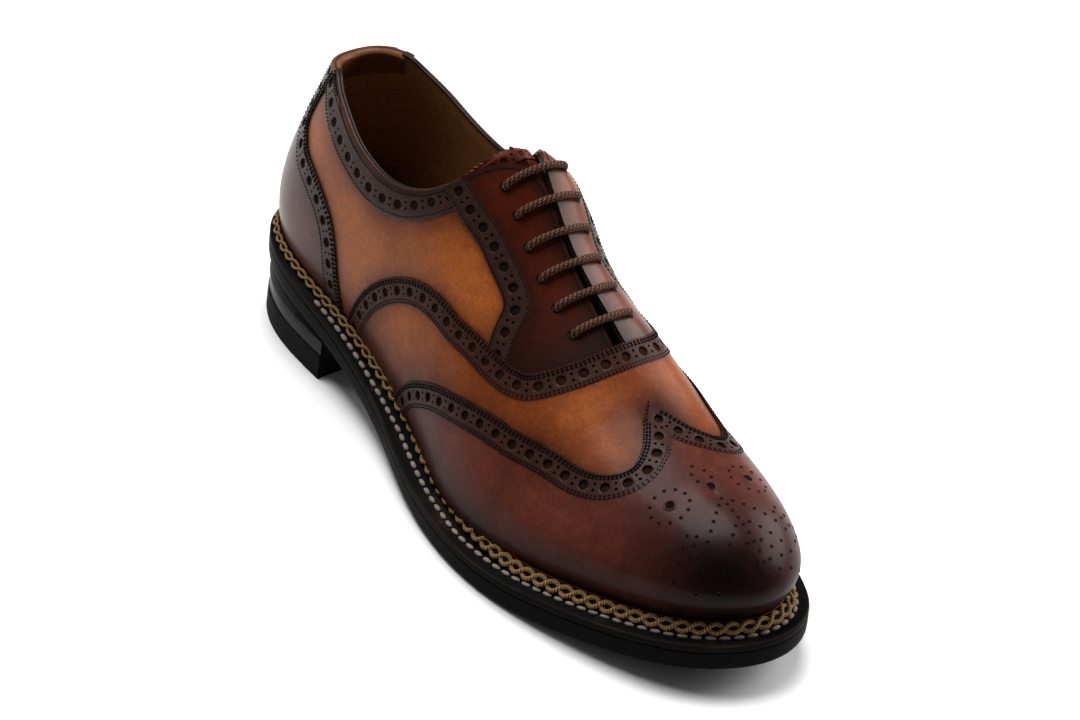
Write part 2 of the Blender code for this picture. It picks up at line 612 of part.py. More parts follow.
def eyelet_cutter(tools):
    """Twelve pins, one through each eyelet."""
    bm = bmesh.new()
    for side in ("L", "R"):
        for pair in range(1, EYELET_PAIRS + 1):
            station = eyelet_station(pair, side)
            low = LAST.lifted(station, EYELET_RISE, -4.5)
            high = LAST.lifted(station, EYELET_RISE, 4.5)
            made = bmesh.ops.create_cone(bm, cap_ends=True, segments=10, radius1=EYELET_RADIUS * MM,
                                         radius2=EYELET_RADIUS * MM, depth=9 * MM)
            axis = LAST.normal(station, EYELET_RISE)
            side_way = np.cross(axis, (1.0, 0.0, 0.0))
            side_way /= np.linalg.norm(side_way)
            third = np.cross(axis, side_way)
            middle = placed((low + high) / 2)
            for vert in made["verts"]:
                x, y, z = vert.co
                vert.co = middle + x * side_way + y * third + z * axis
    bmesh.ops.recalc_face_normals(bm, faces=bm.faces)
    mesh = bpy.data.meshes.new("eyelet_pins")
    bm.to_mesh(mesh)
    bm.free()
    cutter = bpy.data.objects.new("eyelet_pins", mesh)
    cutter.display_type = "WIRE"
    cutter.hide_render = True
    tools.objects.link(cutter)
    return cutter


def punch(part, cutter):
    hole = part.modifiers.new("eyelets", "BOOLEAN")
    hole.operation = "DIFFERENCE"
    hole.solver = "EXACT"
    hole.object = cutter


def build():
    parts, tools = fresh_scene()
    pins = eyelet_cutter(tools)
    punch(upper(parts), pins)
    piece("wing_cap", WING, (52, 8), WING_GAP, WING_LEATHER, parts, "both")
    piece("vamp", VAMP, (40, 4), PIECE_GAP, PIECE_LEATHER, parts, "both")
    punch(piece("facing_lateral", FACING, (12, 5), PIECE_GAP, PIECE_LEATHER, parts, "outer"), pins)
    punch(piece("facing_medial", FACING, (12, 5), PIECE_GAP, PIECE_LEATHER, parts, "inner"), pins)
    piece("heel_counter", COUNTER, (28, 5), PIECE_GAP, PIECE_LEATHER, parts, "both")
    collar_band(parts)
    tongue(parts)
    insole(parts)
    soles(parts)
    welt_braid(parts)
    lace(parts)


build()
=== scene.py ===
"""Looks of a right-foot full-brogue oxford shoe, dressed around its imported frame.

Burnished leather pieces with punched and gimped bands, stitching, a braided lace, a chain braid on
the welt, and a dressed sole. Toe towards +X, inner side of the foot towards +Y. Tables and sizes are
in millimetres from the back of the heel, and every finished mesh is in metres in the frame.
"""

import logging
import math
from collections.abc import Callable, Sequence
from dataclasses import dataclass, replace
from enum import Enum
from functools import cache

import bmesh
import bpy
import numpy as np
from mathutils import Matrix, Vector
from mathutils.bvhtree import BVHTree


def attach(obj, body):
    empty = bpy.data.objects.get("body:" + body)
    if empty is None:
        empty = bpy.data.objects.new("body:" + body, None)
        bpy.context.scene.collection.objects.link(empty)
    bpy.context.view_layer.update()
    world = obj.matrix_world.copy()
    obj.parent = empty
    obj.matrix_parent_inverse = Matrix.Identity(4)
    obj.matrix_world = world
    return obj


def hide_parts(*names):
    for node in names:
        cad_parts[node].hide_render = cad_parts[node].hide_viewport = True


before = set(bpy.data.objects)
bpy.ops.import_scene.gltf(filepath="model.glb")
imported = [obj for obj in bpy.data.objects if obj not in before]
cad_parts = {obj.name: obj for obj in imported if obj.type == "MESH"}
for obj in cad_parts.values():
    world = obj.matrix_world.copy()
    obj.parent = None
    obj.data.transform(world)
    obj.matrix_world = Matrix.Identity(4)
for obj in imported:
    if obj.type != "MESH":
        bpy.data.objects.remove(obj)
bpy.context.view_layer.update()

logging.basicConfig(level=logging.INFO, format="%(name)s: %(message)s")
LOG = logging.getLogger("oxford")

MM = 0.001
Array = np.ndarray
Triple = tuple[float, float, float]
Colour = Triple
Pair = tuple[float, float]
Rows = Sequence[Pair]
BMesh = bmesh.types.BMesh
Vert = bmesh.types.BMVert
Edges = list[bmesh.types.BMEdge]
Socket = bpy.types.NodeSocket
Node = bpy.types.Node
Tree = bpy.types.NodeTree

# Wall sections round the shoe: sole outline x and y, welt width, top x, y and z, then how the wall
# leaves the feather edge (out, up) and how it arrives at the top (out, down).
SECTIONS = (
    (1.4, 0.0, 5.1, 22, 2, 112.0, 9.5, 24, 5, 22),
    (10.0, -24.0, 6.0, 28.5, -9.5, 113.5, 8.0, 22, 7, 22),
    (38.0, -37.6, 7.6, 52, -17, 119.0, 4.0, 24, 8, 26),
    (80.0, -39.0, 9.0, 92, -15, 121.0, 3.0, 26, 14, 26),
    (118.0, -42.5, 10.0, 128, 7, 120.5, 4.0, 25, 32, 8),
    (151.3, -50.6, 11.2, 158, 8, 99.5, 5.0, 20, 34, 5),
    (186.0, -56.0, 9.0, 188, 9, 79.0, 5.0, 16, 34, 2),
    (216.0, -54.5, 9.5, 212, 9, 64.0, 5.0, 15, 33, 1),
    (245.0, -46.5, 9.5, 233, 8, 57.0, 5.0, 16, 30, 0),
    (272.0, -35.0, 9.5, 250, 7, 55.5, 6.5, 18, 26, 0),
    (293.0, -19.5, 9.5, 258, 6, 54.5, 8.0, 19, 25, 0),
    (304.0, 4.0, 9.5, 261, 6, 54.0, 9.0, 19, 27, 0),
    (297.0, 25.5, 9.5, 258, 6, 54.5, 10.0, 19, 25, 0),
    (276.0, 39.0, 9.5, 250, 7, 55.5, 10.0, 19, 27, 0),
    (248.0, 47.0, 9.5, 233, 8, 57.0, 9.0, 20, 31, 0),
    (218.0, 49.0, 9.5, 212, 9, 64.0, 8.0, 21, 33, 1),
    (188.0, 45.5, 8.5, 188, 9, 79.0, 8.0, 25, 33, 2),
    (155.0, 36.0, 7.5, 158, 8, 99.5, 8.0, 30, 32, 3),
    (120.0, 30.5, 6.5, 128, 7, 120.5, 7.0, 34, 29, 4),
    (82.0, 32.0, 6.5, 92, 17, 121.0, 5.0, 28, 12, 26),
    (38.0, 36.0, 6.5, 52, 17, 117.5, 4.0, 24, 8, 26),
    (10.0, 24.0, 6.0, 28.5, 11.5, 113.5, 8.0, 22, 7, 22),
)
WELT_TOP = (
    (-12, 36.8), (30, 35.0), (75, 28.4), (105, 21.3), (135, 15.6), (165, 11.7),
    (195, 10.6), (220, 11.1), (245, 13.6), (270, 17.0), (306, 22.2),
)
COLLAR = (
    (0.0, 0.93), (0.6, 0.936), (1.1, 0.94), (1.35, 0.935), (1.54, 0.92), (1.70, 0.89), (2.06, 0.835),
    (2.42, 0.778), (2.78, 0.738), (3.06, 0.712), (3.33, 0.705), (3.58, 0.727), (3.76, 0.777),
    (3.90, 0.845), (4.02, 0.905), (4.13, 0.944), (4.25, 0.969), (4.4, 0.984), (4.6, 0.9905),
    (5.0, 0.988), (5.6, 0.981), (6.22, 0.972), (6.40, 1.0),
)
THROAT_END = 6.40

# Millimetres of wall for a rise of 1, roughly.
RISE_MM = 85.0

# How far the leather draws in at its foot, by station, where the welt's rib stands off it.
FOOT_TUCK = ((0.0, 0.0), (5.4, 0.0), (6.0, 1.8), (7.0, 4.0), (8.0, 4.9), (11.0, 5.2))

# Lines of the large holes on the outer side, as station and rise. A rise above 1 is past the ridge.
WING_LINE = (
    (4.10, 0.0), (4.22, 0.075), (4.42, 0.165), (4.68, 0.240), (5.04, 0.323), (5.36, 0.380),
    (5.68, 0.430), (5.98, 0.467), (6.26, 0.493), (6.58, 0.527), (6.90, 0.557), (7.26, 0.577),
    (7.64, 0.617), (7.94, 0.693), (8.09, 0.805), (7.95, 0.905), (7.66, 0.967), (7.45, 1.0),
    (7.2, 1.05), (6.9, 1.12),
)
VAMP_LINE = (
    (3.08, 0.0), (3.20, 0.143), (3.34, 0.257), (3.58, 0.350), (3.88, 0.407), (4.22, 0.447),
    (4.54, 0.480), (4.86, 0.513), (5.18, 0.553), (5.46, 0.577), (5.74, 0.603), (6.00, 0.647),
    (6.20, 0.737), (6.33, 0.840), (6.38, 0.933), (6.39, 1.0),
)
FACING_LINE = (
    (3.70, 0.775), (3.92, 0.752), (4.22, 0.735), (4.52, 0.750), (4.82, 0.763), (5.08, 0.770),
    (5.30, 0.752), (5.40, 0.683), (5.47, 0.636), (5.52, 0.602),
)
COLLAR_LINE = (
    (1.28, 0.905), (1.45, 0.882), (1.60, 0.853), (1.84, 0.793), (2.08, 0.747), (2.30, 0.713),
    (2.52, 0.687), (2.70, 0.667), (2.92, 0.650), (3.14, 0.643), (3.36, 0.647), (3.56, 0.667),
    (3.74, 0.700), (3.88, 0.740),
)
COUNTER_LINE = (
    (1.28, 0.97), (1.2, 0.88), (1.16, 0.80), (1.16, 0.70), (1.24, 0.625), (1.36, 0.58),
    (1.48, 0.547), (1.68, 0.500), (1.94, 0.467), (2.16, 0.435), (2.34, 0.395), (2.49, 0.335),
    (2.60, 0.247), (2.68, 0.147), (2.80, 0.0),
)


class Slot(Enum):
    """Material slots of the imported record."""

    UPPER = "upper_leather"
    DARK = "dark_leather"
    LINING = "lining_leather"
    EDGE = "sole_edge"
    RUBBER = "sole_rubber"
    BRAID = "braid"
    LACE = "lace_cord"


class Edge(Enum):
    """How the free edge of a punched band is finished."""

    GIMPED = "gimped"
    PLAIN = "plain"


def unit(vectors: Array) -> Array:
    """Return the vectors at length one."""
    return vectors / np.linalg.norm(vectors, axis=-1, keepdims=True)


def ease(share: Array) -> Array:
    """Return shares from 0 to 1 with a soft start and end."""
    return share * share * (3 - 2 * share)


def running(points: Array, power: float = 1.0) -> Array:
    """Return the length from a line's first point to each point, with a power on every step."""
    steps = np.linalg.norm(np.diff(points, axis=0), axis=1) ** power
    return np.concatenate([[0], np.cumsum(steps)])


def read(rows: Rows, at: Array) -> Array:
    """Return a table's values, in straight lines between its rows."""
    return np.interp(at, *np.transpose(rows))


def row_of(share: Array, rows: int) -> Array:
    """Return which of evenly spread rows each share from 0 to 1 belongs to."""
    return np.rint(share * (rows - 1)).astype(int)


def raised(plan: Array, level: Array) -> Array:
    """Return plan points at given levels."""
    return np.concatenate([plan, level[..., None]], -1)


def cubic(knots: Array, values: Array, periodic: bool = False) -> Callable[[Array], Array]:
    """Fit a cubic spline.

    Args:
        knots: Rising places along the curve.
        values: One value or row of values for each knot.
        periodic: Whether the curve closes on itself.

    Returns:
        A function of the place along the curve.
    """
    t = np.asarray(knots, float)
    y = np.asarray(values, float)
    count = len(t)
    h = np.diff(t)
    matrix = np.zeros((count, count))
    right = np.zeros_like(y)
    for i in range(1, count - 1):
        matrix[i, i - 1:i + 2] = h[i - 1], 2 * (h[i - 1] + h[i]), h[i]
        right[i] = 6 * ((y[i + 1] - y[i]) / h[i] - (y[i] - y[i - 1]) / h[i - 1])
    if periodic:
        matrix[0, 0] = 2 * (h[0] + h[-1])
        matrix[0, 1] = h[0]
        matrix[0, count - 2] = h[-1]
        right[0] = 6 * ((y[1] - y[0]) / h[0] - (y[-1] - y[-2]) / h[-1])
        matrix[-1, 0] = 1
        matrix[-1, -1] = -1
    else:
        matrix[0, 0] = matrix[-1, -1] = 1
    bend = np.linalg.solve(matrix, right)

    def value(at: Array) -> Array:
        """Return the curve at the given places."""
        s = np.asarray(at, float)
        if periodic:
            s = np.mod(s - t[0], t[-1] - t[0]) + t[0]
        i = np.clip(np.searchsorted(t, s, side="right") - 1, 0, count - 2)
        a = t[i + 1] - s
        b = s - t[i]
        w = h[i]
        if y.ndim > 1:
            a, b, w = a[..., None], b[..., None], w[..., None]
        curve = bend[i] * a ** 3 + bend[i + 1] * b ** 3
        line = (y[i] / w - bend[i] * w / 6) * a + (y[i + 1] / w - bend[i + 1] * w / 6) * b
        return curve / (6 * w) + line

    return value


class Skin:
    """A surface addressed by two numbers, in table millimetres."""

    step = (0.01, 0.005)

    def point(self, p: Array, q: Array) -> Array:
        """Return points of the surface."""
        raise NotImplementedError

    def slopes(self, p: Array, q: Array) -> tuple[Array, Array]:
        """Return how the points move along each of the two numbers, for a step both ways."""
        dp, dq = self.step
        return (self.point(p + dp, q) - self.point(p - dp, q),
                self.point(p, q + dq) - self.point(p, q - dq))

    def normal(self, p: Array, q: Array) -> Array:
        """Return the outward directions of the surface."""
        return unit(np.cross(*self.slopes(p, q)))

    def lifted(self, p: Array, q: Array, lift: Array) -> Array:
        """Return points at a height above the surface."""
        return self.point(p, q) + self.normal(p, q) * np.asarray(lift, float)[..., None]


class Last(Skin):
    """The shoe's surface by station and rise; a rise above 1 lies past the ridge."""

    ridge_from = 3.0
    tuck_rise = 0.35
    top_rise = 0.975
    even_from = 0.9

    def __init__(self) -> None:
        """Fit the splines through the section tables."""
        table = np.array(SECTIONS, float)
        self.count = len(table)
        self.tip = self.count // 2
        ring = np.vstack([table, table[:1]])
        along = running(ring[:, :2], 0.5)
        self.along = along / along[-1]
        self.row = cubic(self.along, ring, periodic=True)
        self.ridge = cubic(np.arange(self.tip + 1), table[:self.tip + 1, 3:6])
        edge = np.array(COLLAR)
        self.closing = edge[-2:]
        self.collar = cubic(np.append(-edge[2:0:-1, 0], edge[:-1, 0]),
                            np.append(edge[2:0:-1, 1], edge[:-1, 1]))
        heights = np.array(WELT_TOP, float)
        self.welt_top = cubic(heights[:, 0], heights[:, 1])
        outline = self.outline(np.linspace(0, self.count, 400), np.zeros(400))
        self.centre = np.append((outline.min(0) + outline.max(0)) / 2, 0.0)

    def parameter(self, station: Array) -> Array:
        """Return the outline spline's parameter at a station."""
        return np.interp(np.mod(station, self.count), np.arange(self.count + 1), self.along)

    def outward(self, station: Array) -> Array:
        """Return the plan direction away from the shoe."""
        u = self.parameter(station)
        step = (self.row(u + 1e-4) - self.row(u - 1e-4))[..., :2]
        return unit(np.stack([step[..., 1], -step[..., 0]], -1))

    def outline(self, station: Array, inset: Array) -> Array:
        """Return plan points of the sole outline, set in by a distance."""
        row = self.row(self.parameter(station))
        return row[..., :2] - self.outward(station) * np.asarray(inset, float)[..., None]

    def welt(self, station: Array) -> Array:
        """Return the width of the welt."""
        return self.row(self.parameter(station))[..., 2]

    def half(self, station: Array) -> Array:
        """Return the station counted from the heel on whichever side it lies."""
        station = np.mod(station, self.count)
        return np.where(station > self.tip, self.count - station, station)

    def wall(self, station: Array, rise: Array) -> Array:
        """Return points of one side's wall."""
        station, rise = np.broadcast_arrays(np.asarray(station, float), np.asarray(rise, float))
        row = self.row(self.parameter(station))
        out = raised(self.outward(station), np.zeros(station.shape))
        up = np.array([0.0, 0.0, 1.0])
        foot = row[..., :2] - out[..., :2] * row[..., 2:3]
        base = raised(foot, self.welt_top(foot[..., 0]))
        half = self.half(station)
        blend = ease(np.clip(half - self.ridge_from, 0, 1))[..., None]
        top = row[..., 3:6] * (1 - blend) + self.ridge(half) * blend
        low = base + out * row[..., 6:7] + up * row[..., 7:8]
        high = top + out * row[..., 8:9] - up * row[..., 9:10]
        v = rise[..., None]
        w = 1 - v
        return base * w ** 3 + 3 * low * v * w ** 2 + 3 * high * v ** 2 * w + top * v ** 3

    def folded(self, station: Array, rise: Array) -> tuple[Array, Array]:
        """Return station and rise with what lies past the ridge moved to the other side."""
        station, rise = np.broadcast_arrays(np.asarray(station, float), np.asarray(rise, float))
        over = rise > 1
        return np.where(over, self.count - station, station), np.where(over, 2 - rise, rise)

    def point(self, p: Array, q: Array) -> Array:
        """Return points of the surface."""
        return self.wall(*self.folded(p, q))

    def flat_normal(self, station: Array, rise: Array) -> Array:
        """Return the outward directions of one side's wall."""
        along = self.wall(station + 0.02, rise) - self.wall(station - 0.02, rise)
        across = self.wall(station, rise + 0.01) - self.wall(station, rise - 0.01)
        return unit(np.cross(along, across))

    def normal(self, p: Array, q: Array) -> Array:
        """Return the outward directions, evened out across the ridge."""
        station, rise = self.folded(p, q)
        inside = np.clip(rise, 0.01, self.top_rise)
        own = self.flat_normal(station, inside)
        other = self.flat_normal(self.count - station, inside)
        near = np.clip((rise - self.even_from) / 0.1, 0, 1) * (self.half(station) > 4)
        return unit(own * (1 - near[..., None] / 2) + other * near[..., None] / 2)

    def tuck(self, station: Array, rise: Array) -> Array:
        """Return how far the wall's foot draws in."""
        station, rise = self.folded(station, rise)
        return read(FOOT_TUCK, self.half(station)) * ease(np.clip(1 - rise / self.tuck_rise, 0, 1))

    def lifted(self, p: Array, q: Array, lift: Array) -> Array:
        """Return points at a height above the surface, with the foot drawn in."""
        return super().lifted(p, q, np.asarray(lift, float) - self.tuck(p, q))

    def collar_rise(self, station: Array) -> Array:
        """Return the rise of the collar and throat edge."""
        half = self.half(station)
        return np.where(half < self.closing[0, 0], self.collar(np.minimum(half, self.closing[0, 0])),
                        np.interp(half, self.closing[:, 0], self.closing[:, 1]))

    def seat(self, station: Array, inset: Array, height: Array) -> Array:
        """Return points over the welt: set in from the sole outline, at a height above its top."""
        plan = self.outline(station, inset)
        return raised(plan, self.welt_top(plan[..., 0]) + height)


LAST = Last()


def placed(points: Array) -> Array:
    """Return table millimetres as metres in the frame."""
    return (np.asarray(points) - LAST.centre) * MM


def mirrored(rows: Rows) -> list[Pair]:
    """Return a line of the outer side on the inner side, running on round the toe."""
    return [(LAST.count - station, rise) for station, rise in reversed(rows)]


def over_ridge(rows: Rows) -> list[Pair]:
    """Return a line that climbs the outer side, crosses the ridge and goes down the inner side."""
    return list(rows) + [(station, 2 - rise) for station, rise in reversed(rows[:-1])]


def behind(rows: Rows) -> list[Pair]:
    """Return a line of the outer side on the inner side, running on round the heel."""
    return [(-station, rise) for station, rise in reversed(rows)]


class Seam:
    """A line drawn on a skin, measured in millimetres along it and across it."""

    samples = 900
    weights = (30.0, RISE_MM)

    def __init__(self, skin: Skin, rows: Rows) -> None:
        """Fit a smooth line.

        Args:
            skin: The surface that carries the line.
            rows: Places on the surface that the line passes.
        """
        table = np.asarray(rows, float)
        knots = running(table * self.weights)
        self.skin = skin
        self.track = cubic(knots, table)(np.linspace(0, knots[-1], self.samples))
        p, q = self.track.T
        self.points = skin.point(p, q)
        self.measure = running(self.points)
        self.length = float(self.measure[-1])
        tangent = unit(np.gradient(self.points, self.measure, axis=0))
        across = unit(np.cross(skin.normal(p, q), tangent))
        by_p, by_q = (slope / (2 * step) for slope, step in zip(skin.slopes(p, q), skin.step))
        pp, pq, qq = (by_p * by_p).sum(-1), (by_p * by_q).sum(-1), (by_q * by_q).sum(-1)
        pa, qa = (by_p * across).sum(-1), (by_q * across).sum(-1)
        scale = pp * qq - pq * pq
        self.turn = np.stack([(qq * pa - pq * qa) / scale, (pp * qa - pq * pa) / scale], -1)

    def spot(self, along: Array, across: Array) -> tuple[Array, Array]:
        """Return the skin's two numbers at a distance along the line and across it."""
        p, q, dp, dq = (np.interp(along, self.measure, column)
                        for column in (*self.track.T, *self.turn.T))
        return p + across * dp, q + across * dq

    def crossing(self, rise: float) -> float:
        """Return the distance along the line to where it reaches a rise."""
        order = np.argsort(self.track[:, 1])
        return float(np.interp(rise, self.track[order, 1], self.measure[order]))

    def beside(self, across: float, most: float = 1.0) -> list[Pair]:
        """Return places at one distance from the line, as far as it keeps under a rise."""
        kept = self.measure[self.track[:, 1] <= most][::6]
        return list(zip(*self.spot(kept, np.full(len(kept), across))))

    def lifted(self, along: Array, across: Array, lift: Array) -> Array:
        """Return points over the skin beside the line."""
        return self.skin.lifted(*self.spot(along, across), lift)


@dataclass
class NodeDesk:
    """Short calls for laying out a node tree."""

    tree: Tree

    def node(self, kind: str, inputs: dict | None = None, **settings: object) -> Node:
        """Add a node.

        Args:
            kind: Blender's type name of the node.
            inputs: Values or sockets by input name or index.
            settings: Attributes of the node.

        Returns:
            The new node.
        """
        made = self.tree.nodes.new(kind)
        for key, value in settings.items():
            setattr(made, key, value)
        self.fill(made, inputs or {})
        return made

    def fill(self, node: Node, inputs: dict) -> None:
        """Link sockets into a node's inputs, or set the inputs' values."""
        for key, value in inputs.items():
            socket = node.inputs[key]
            if isinstance(value, Socket):
                self.tree.links.new(value, socket)
            elif socket.type == "RGBA":
                socket.default_value = (*value, 1.0)
            else:
                socket.default_value = value

    def group(self, tree: Tree, **inputs: object) -> Node:
        """Return a node group's node with its inputs set."""
        return self.node("ShaderNodeGroup", inputs, node_tree=tree)

    def math(self, operation: str, *values: object, clamp: bool = False) -> Socket:
        """Return the output of a Math node."""
        inputs = dict(enumerate(values))
        return self.node("ShaderNodeMath", inputs, operation=operation, use_clamp=clamp).outputs[0]

    def sway(self, value: Socket, reach: float, base: object) -> Socket:
        """Return a base moved by a value's distance from one half."""
        return self.math("MULTIPLY_ADD", self.math("SUBTRACT", value, 0.5), reach, base)

    def mix(self, factor: object, a: object, b: object, blend: str = "MIX") -> Socket:
        """Return the output of a colour Mix node."""
        inputs = {0: factor, 6: a, 7: b}
        return self.node("ShaderNodeMix", inputs, data_type="RGBA", blend_type=blend).outputs[2]

    def grey(self, tone: Socket) -> Socket:
        """Return a value as a colour."""
        return self.node("ShaderNodeCombineColor", {0: tone, 1: tone, 2: tone}).outputs[0]

    def toned(self, colour: object, tone: Socket) -> Socket:
        """Return a colour times a value."""
        return self.mix(1.0, colour, self.grey(tone), "MULTIPLY")

    def spread(self, value: object, low: float, high: float, start: float, end: float) -> Socket:
        """Return a value mapped smoothly from low..high to start..end."""
        made = self.node("ShaderNodeMapRange", {0: value, 1: low, 2: high, 3: start, 4: end},
                         interpolation_type="SMOOTHSTEP")
        return made.outputs[0]

    def attribute(self, name: str) -> Socket:
        """Return a vertex attribute of the piece."""
        return self.node("ShaderNodeAttribute", attribute_name=name).outputs["Fac"]

    def noise(self, scale: float, detail: float, roughness: float = 0.55,
              stretch: Triple | None = None) -> Socket:
        """Return noise over Object coordinates, a scale in cells per metre."""
        place = self.node("ShaderNodeTexCoord").outputs["Object"]
        if stretch is not None:
            place = self.node("ShaderNodeMapping", {"Vector": place, "Scale": stretch}).outputs[0]
        inputs = {"Vector": place, "Scale": scale, "Detail": detail, "Roughness": roughness}
        return self.node("ShaderNodeTexNoise", inputs).outputs[0]

    def along_cord(self) -> tuple[Socket, Socket]:
        """Return a cord's UV map: along it and around it."""
        uv = self.node("ShaderNodeUVMap", uv_map="cord").outputs[0]
        parts = self.node("ShaderNodeSeparateXYZ", {0: uv})
        return parts.outputs[0], parts.outputs[1]

    def bump(self, height: Socket, strength: float, distance: float) -> Socket:
        """Return the normal of a Bump node."""
        inputs = {"Height": height, "Strength": strength, "Distance": distance}
        return self.node("ShaderNodeBump", inputs).outputs[0]


class Effects:
    """Shader node groups that several finishes share, each built once."""

    colours = ("Core", "Warm", "Deep", "Band", "Pit", "Color")

    @classmethod
    def group(cls, name: str, inputs: Sequence[str],
              outputs: Sequence[str]) -> tuple[NodeDesk, dict[str, Socket], Node]:
        """Start a node group.

        Args:
            name: The group's name.
            inputs: The inputs' names.
            outputs: The outputs' names.

        Returns:
            The desk for the group's nodes, its input sockets by name and its output node.
        """
        tree = bpy.data.node_groups.new(name, "ShaderNodeTree")
        for way, labels in (("INPUT", inputs), ("OUTPUT", outputs)):
            for label in labels:
                kind = "Color" if label in cls.colours else "Float"
                tree.interface.new_socket(label, in_out=way, socket_type=f"NodeSocket{kind}")
        desk = NodeDesk(tree)
        entry = desk.node("NodeGroupInput")
        return desk, {socket.name: socket for socket in entry.outputs}, desk.node("NodeGroupOutput")

    @classmethod
    @cache
    def patina(cls) -> Tree:
        """Return the leather's colour: hand-burnished core and edges darkened by the mark of burnished
        patina and painted shade, the punched band, and hole floors dark with painted shade.
        """
        desk, enter, leave = cls.group(
            "patina", ("Core", "Warm", "Deep", "Band", "Pit", "Mottle"), ("Color",))
        cloud = desk.noise(34.0, 4.0, 0.6)
        blotch = desk.noise(150.0, 5.0, 0.62)
        brush = desk.noise(420.0, 3.0, 0.6, (0.45, 1.0, 1.0))
        speck = desk.noise(800.0, 3.0, 0.65)
        sway = desk.sway(brush, 0.22, desk.sway(blotch, 0.30, desk.sway(cloud, 0.55, 0.0)))
        sway = desk.math("MULTIPLY", sway, enter["Mottle"])
        # The mark darkens the colour from core through warm to deep: burnished patina, and painted shade
        # where pieces meet the welt or lie inside the shoe.
        patina_shade = desk.math("ADD", desk.attribute("patina_and_shade"), sway, clamp=True)
        colour = desk.mix(desk.spread(patina_shade, 0.0, 0.5, 0.0, 1.0), enter["Core"], enter["Warm"])
        colour = desk.mix(desk.spread(patina_shade, 0.35, 1.0, 0.0, 1.0), colour, enter["Deep"])
        fleck = desk.spread(speck, 0.3, 0.72, 0.84, 1.12)
        tone = desk.math("MULTIPLY", fleck, desk.spread(brush, 0.25, 0.8, 0.86, 1.12))
        band = desk.math("MULTIPLY", desk.attribute("band"), desk.spread(blotch, 0.2, 0.8, 0.78, 0.98))
        colour = desk.mix(band, desk.toned(colour, tone), desk.toned(enter["Band"], tone))
        desk.fill(leave, {"Color": desk.mix(desk.attribute("pit"), colour, enter["Pit"])})
        return desk.tree

    @classmethod
    @cache
    def grain(cls) -> Tree:
        """Return calf grain: fine pores and soft wrinkles, with the gloss they leave."""
        desk, enter, leave = cls.group("grain", ("Rough", "Pores"), ("Height", "Roughness"))
        place = desk.node("ShaderNodeTexCoord").outputs["Object"]
        cells = desk.node("ShaderNodeTexVoronoi", {"Vector": place, "Scale": 1500.0, "Randomness": 1.0})
        fold = desk.noise(420.0, 5.0, 0.6)
        swell = desk.noise(70.0, 3.0, 0.5)
        pores = desk.spread(cells.outputs["Distance"], 0.0, 0.6, 0.0, 1.0)
        height = desk.math("MULTIPLY_ADD", fold, 0.9, desk.math("MULTIPLY", pores, enter["Pores"]))
        shine = desk.sway(swell, 0.14, desk.sway(fold, 0.16, enter["Rough"]))
        shine = desk.math("MULTIPLY_ADD", desk.attribute("band"), 0.08, shine)
        desk.fill(leave, {
            "Height": desk.math("MULTIPLY_ADD", swell, 1.6, height),
            "Roughness": desk.math("MULTIPLY_ADD", desk.attribute("pit"), 0.6, shine, clamp=True)})
        return desk.tree

    @classmethod
    @cache
    def plait(cls) -> Tree:
        """Return a braid of crossing yarns on a cord's UV map: which yarn is on top, and its height."""
        desk, enter, leave = cls.group("plait", ("Along", "Around"), ("Over", "Height"))
        along, around = (desk.math("MULTIPLY", place, enter[label])
                         for place, label in zip(desk.along_cord(), ("Along", "Around")))
        left = desk.math("ADD", along, around)
        right = desk.math("MULTIPLY", desk.math("SUBTRACT", along, around), 0.5)
        steps = desk.math("ADD", desk.math("FLOOR", left), desk.math("FLOOR", right))
        humps = [desk.math("SINE", desk.math("MULTIPLY", desk.math("FRACT", side), math.pi))
                 for side in (left, right)]
        desk.fill(leave, {"Over": desk.math("MODULO", desk.math("ABSOLUTE", steps), 2.0),
                          "Height": desk.math("POWER", desk.math("MULTIPLY", *humps), 0.6)})
        return desk.tree

    @classmethod
    @cache
    def twist(cls) -> Tree:
        """Return the plies of a twisted thread on a cord's UV map."""
        desk, enter, leave = cls.group("twist", ("Turns", "Plies"), ("Ply",))
        along, around = desk.along_cord()
        phase = desk.math("MULTIPLY", along, enter["Turns"])
        phase = desk.math("MULTIPLY_ADD", around, enter["Plies"], phase)
        wave = desk.math("SINE", desk.math("MULTIPLY", phase, 2 * math.pi))
        desk.fill(leave, {"Ply": desk.math("MULTIPLY_ADD", wave, 0.5, 0.5)})
        return desk.tree

    @classmethod
    @cache
    def dressing(cls) -> Tree:
        """Return edge dressing: faint scuffs, brush lines and a pebbled surface."""
        desk, enter, leave = cls.group("dressing", ("Rough", "Lines"), ("Scuff", "Height", "Roughness"))
        lines = desk.noise(260.0, 4.0, 0.65, (0.12, 0.12, 2.6))
        pebble = desk.noise(900.0, 3.0, 0.6)
        cloud = desk.noise(45.0, 4.0, 0.6)
        scuff = desk.math("MULTIPLY", desk.spread(lines, 0.55, 0.82, 0.0, 1.0),
                          desk.spread(cloud, 0.42, 0.7, 0.1, 1.0))
        wear = desk.math("MULTIPLY", desk.attribute("wear"), desk.spread(cloud, 0.35, 0.65, 0.1, 0.7))
        scuff = desk.math("MAXIMUM", scuff, wear)
        rough = desk.sway(cloud, 0.25, enter["Rough"])
        desk.fill(leave, {
            "Scuff": scuff,
            "Height": desk.math("MULTIPLY_ADD", lines, enter["Lines"], pebble),
            "Roughness": desk.math("MULTIPLY_ADD", scuff, 0.18, rough, clamp=True)})
        return desk.tree


@dataclass(frozen=True)
class Finish:
    """A surface with one slot of the record; the kinds below lay out its nodes."""

    name: str
    slot: Slot

    @cache
    def material(self) -> bpy.types.Material:
        """Return the material, built on first use."""
        material = bpy.data.materials.new(self.name)
        material.use_nodes = True
        tree = material.node_tree
        self.lay_out(NodeDesk(tree), tree.nodes["Principled BSDF"])
        return material

    def lay_out(self, desk: NodeDesk, shader: Node) -> None:
        """Feed the Principled shader."""
        raise NotImplementedError


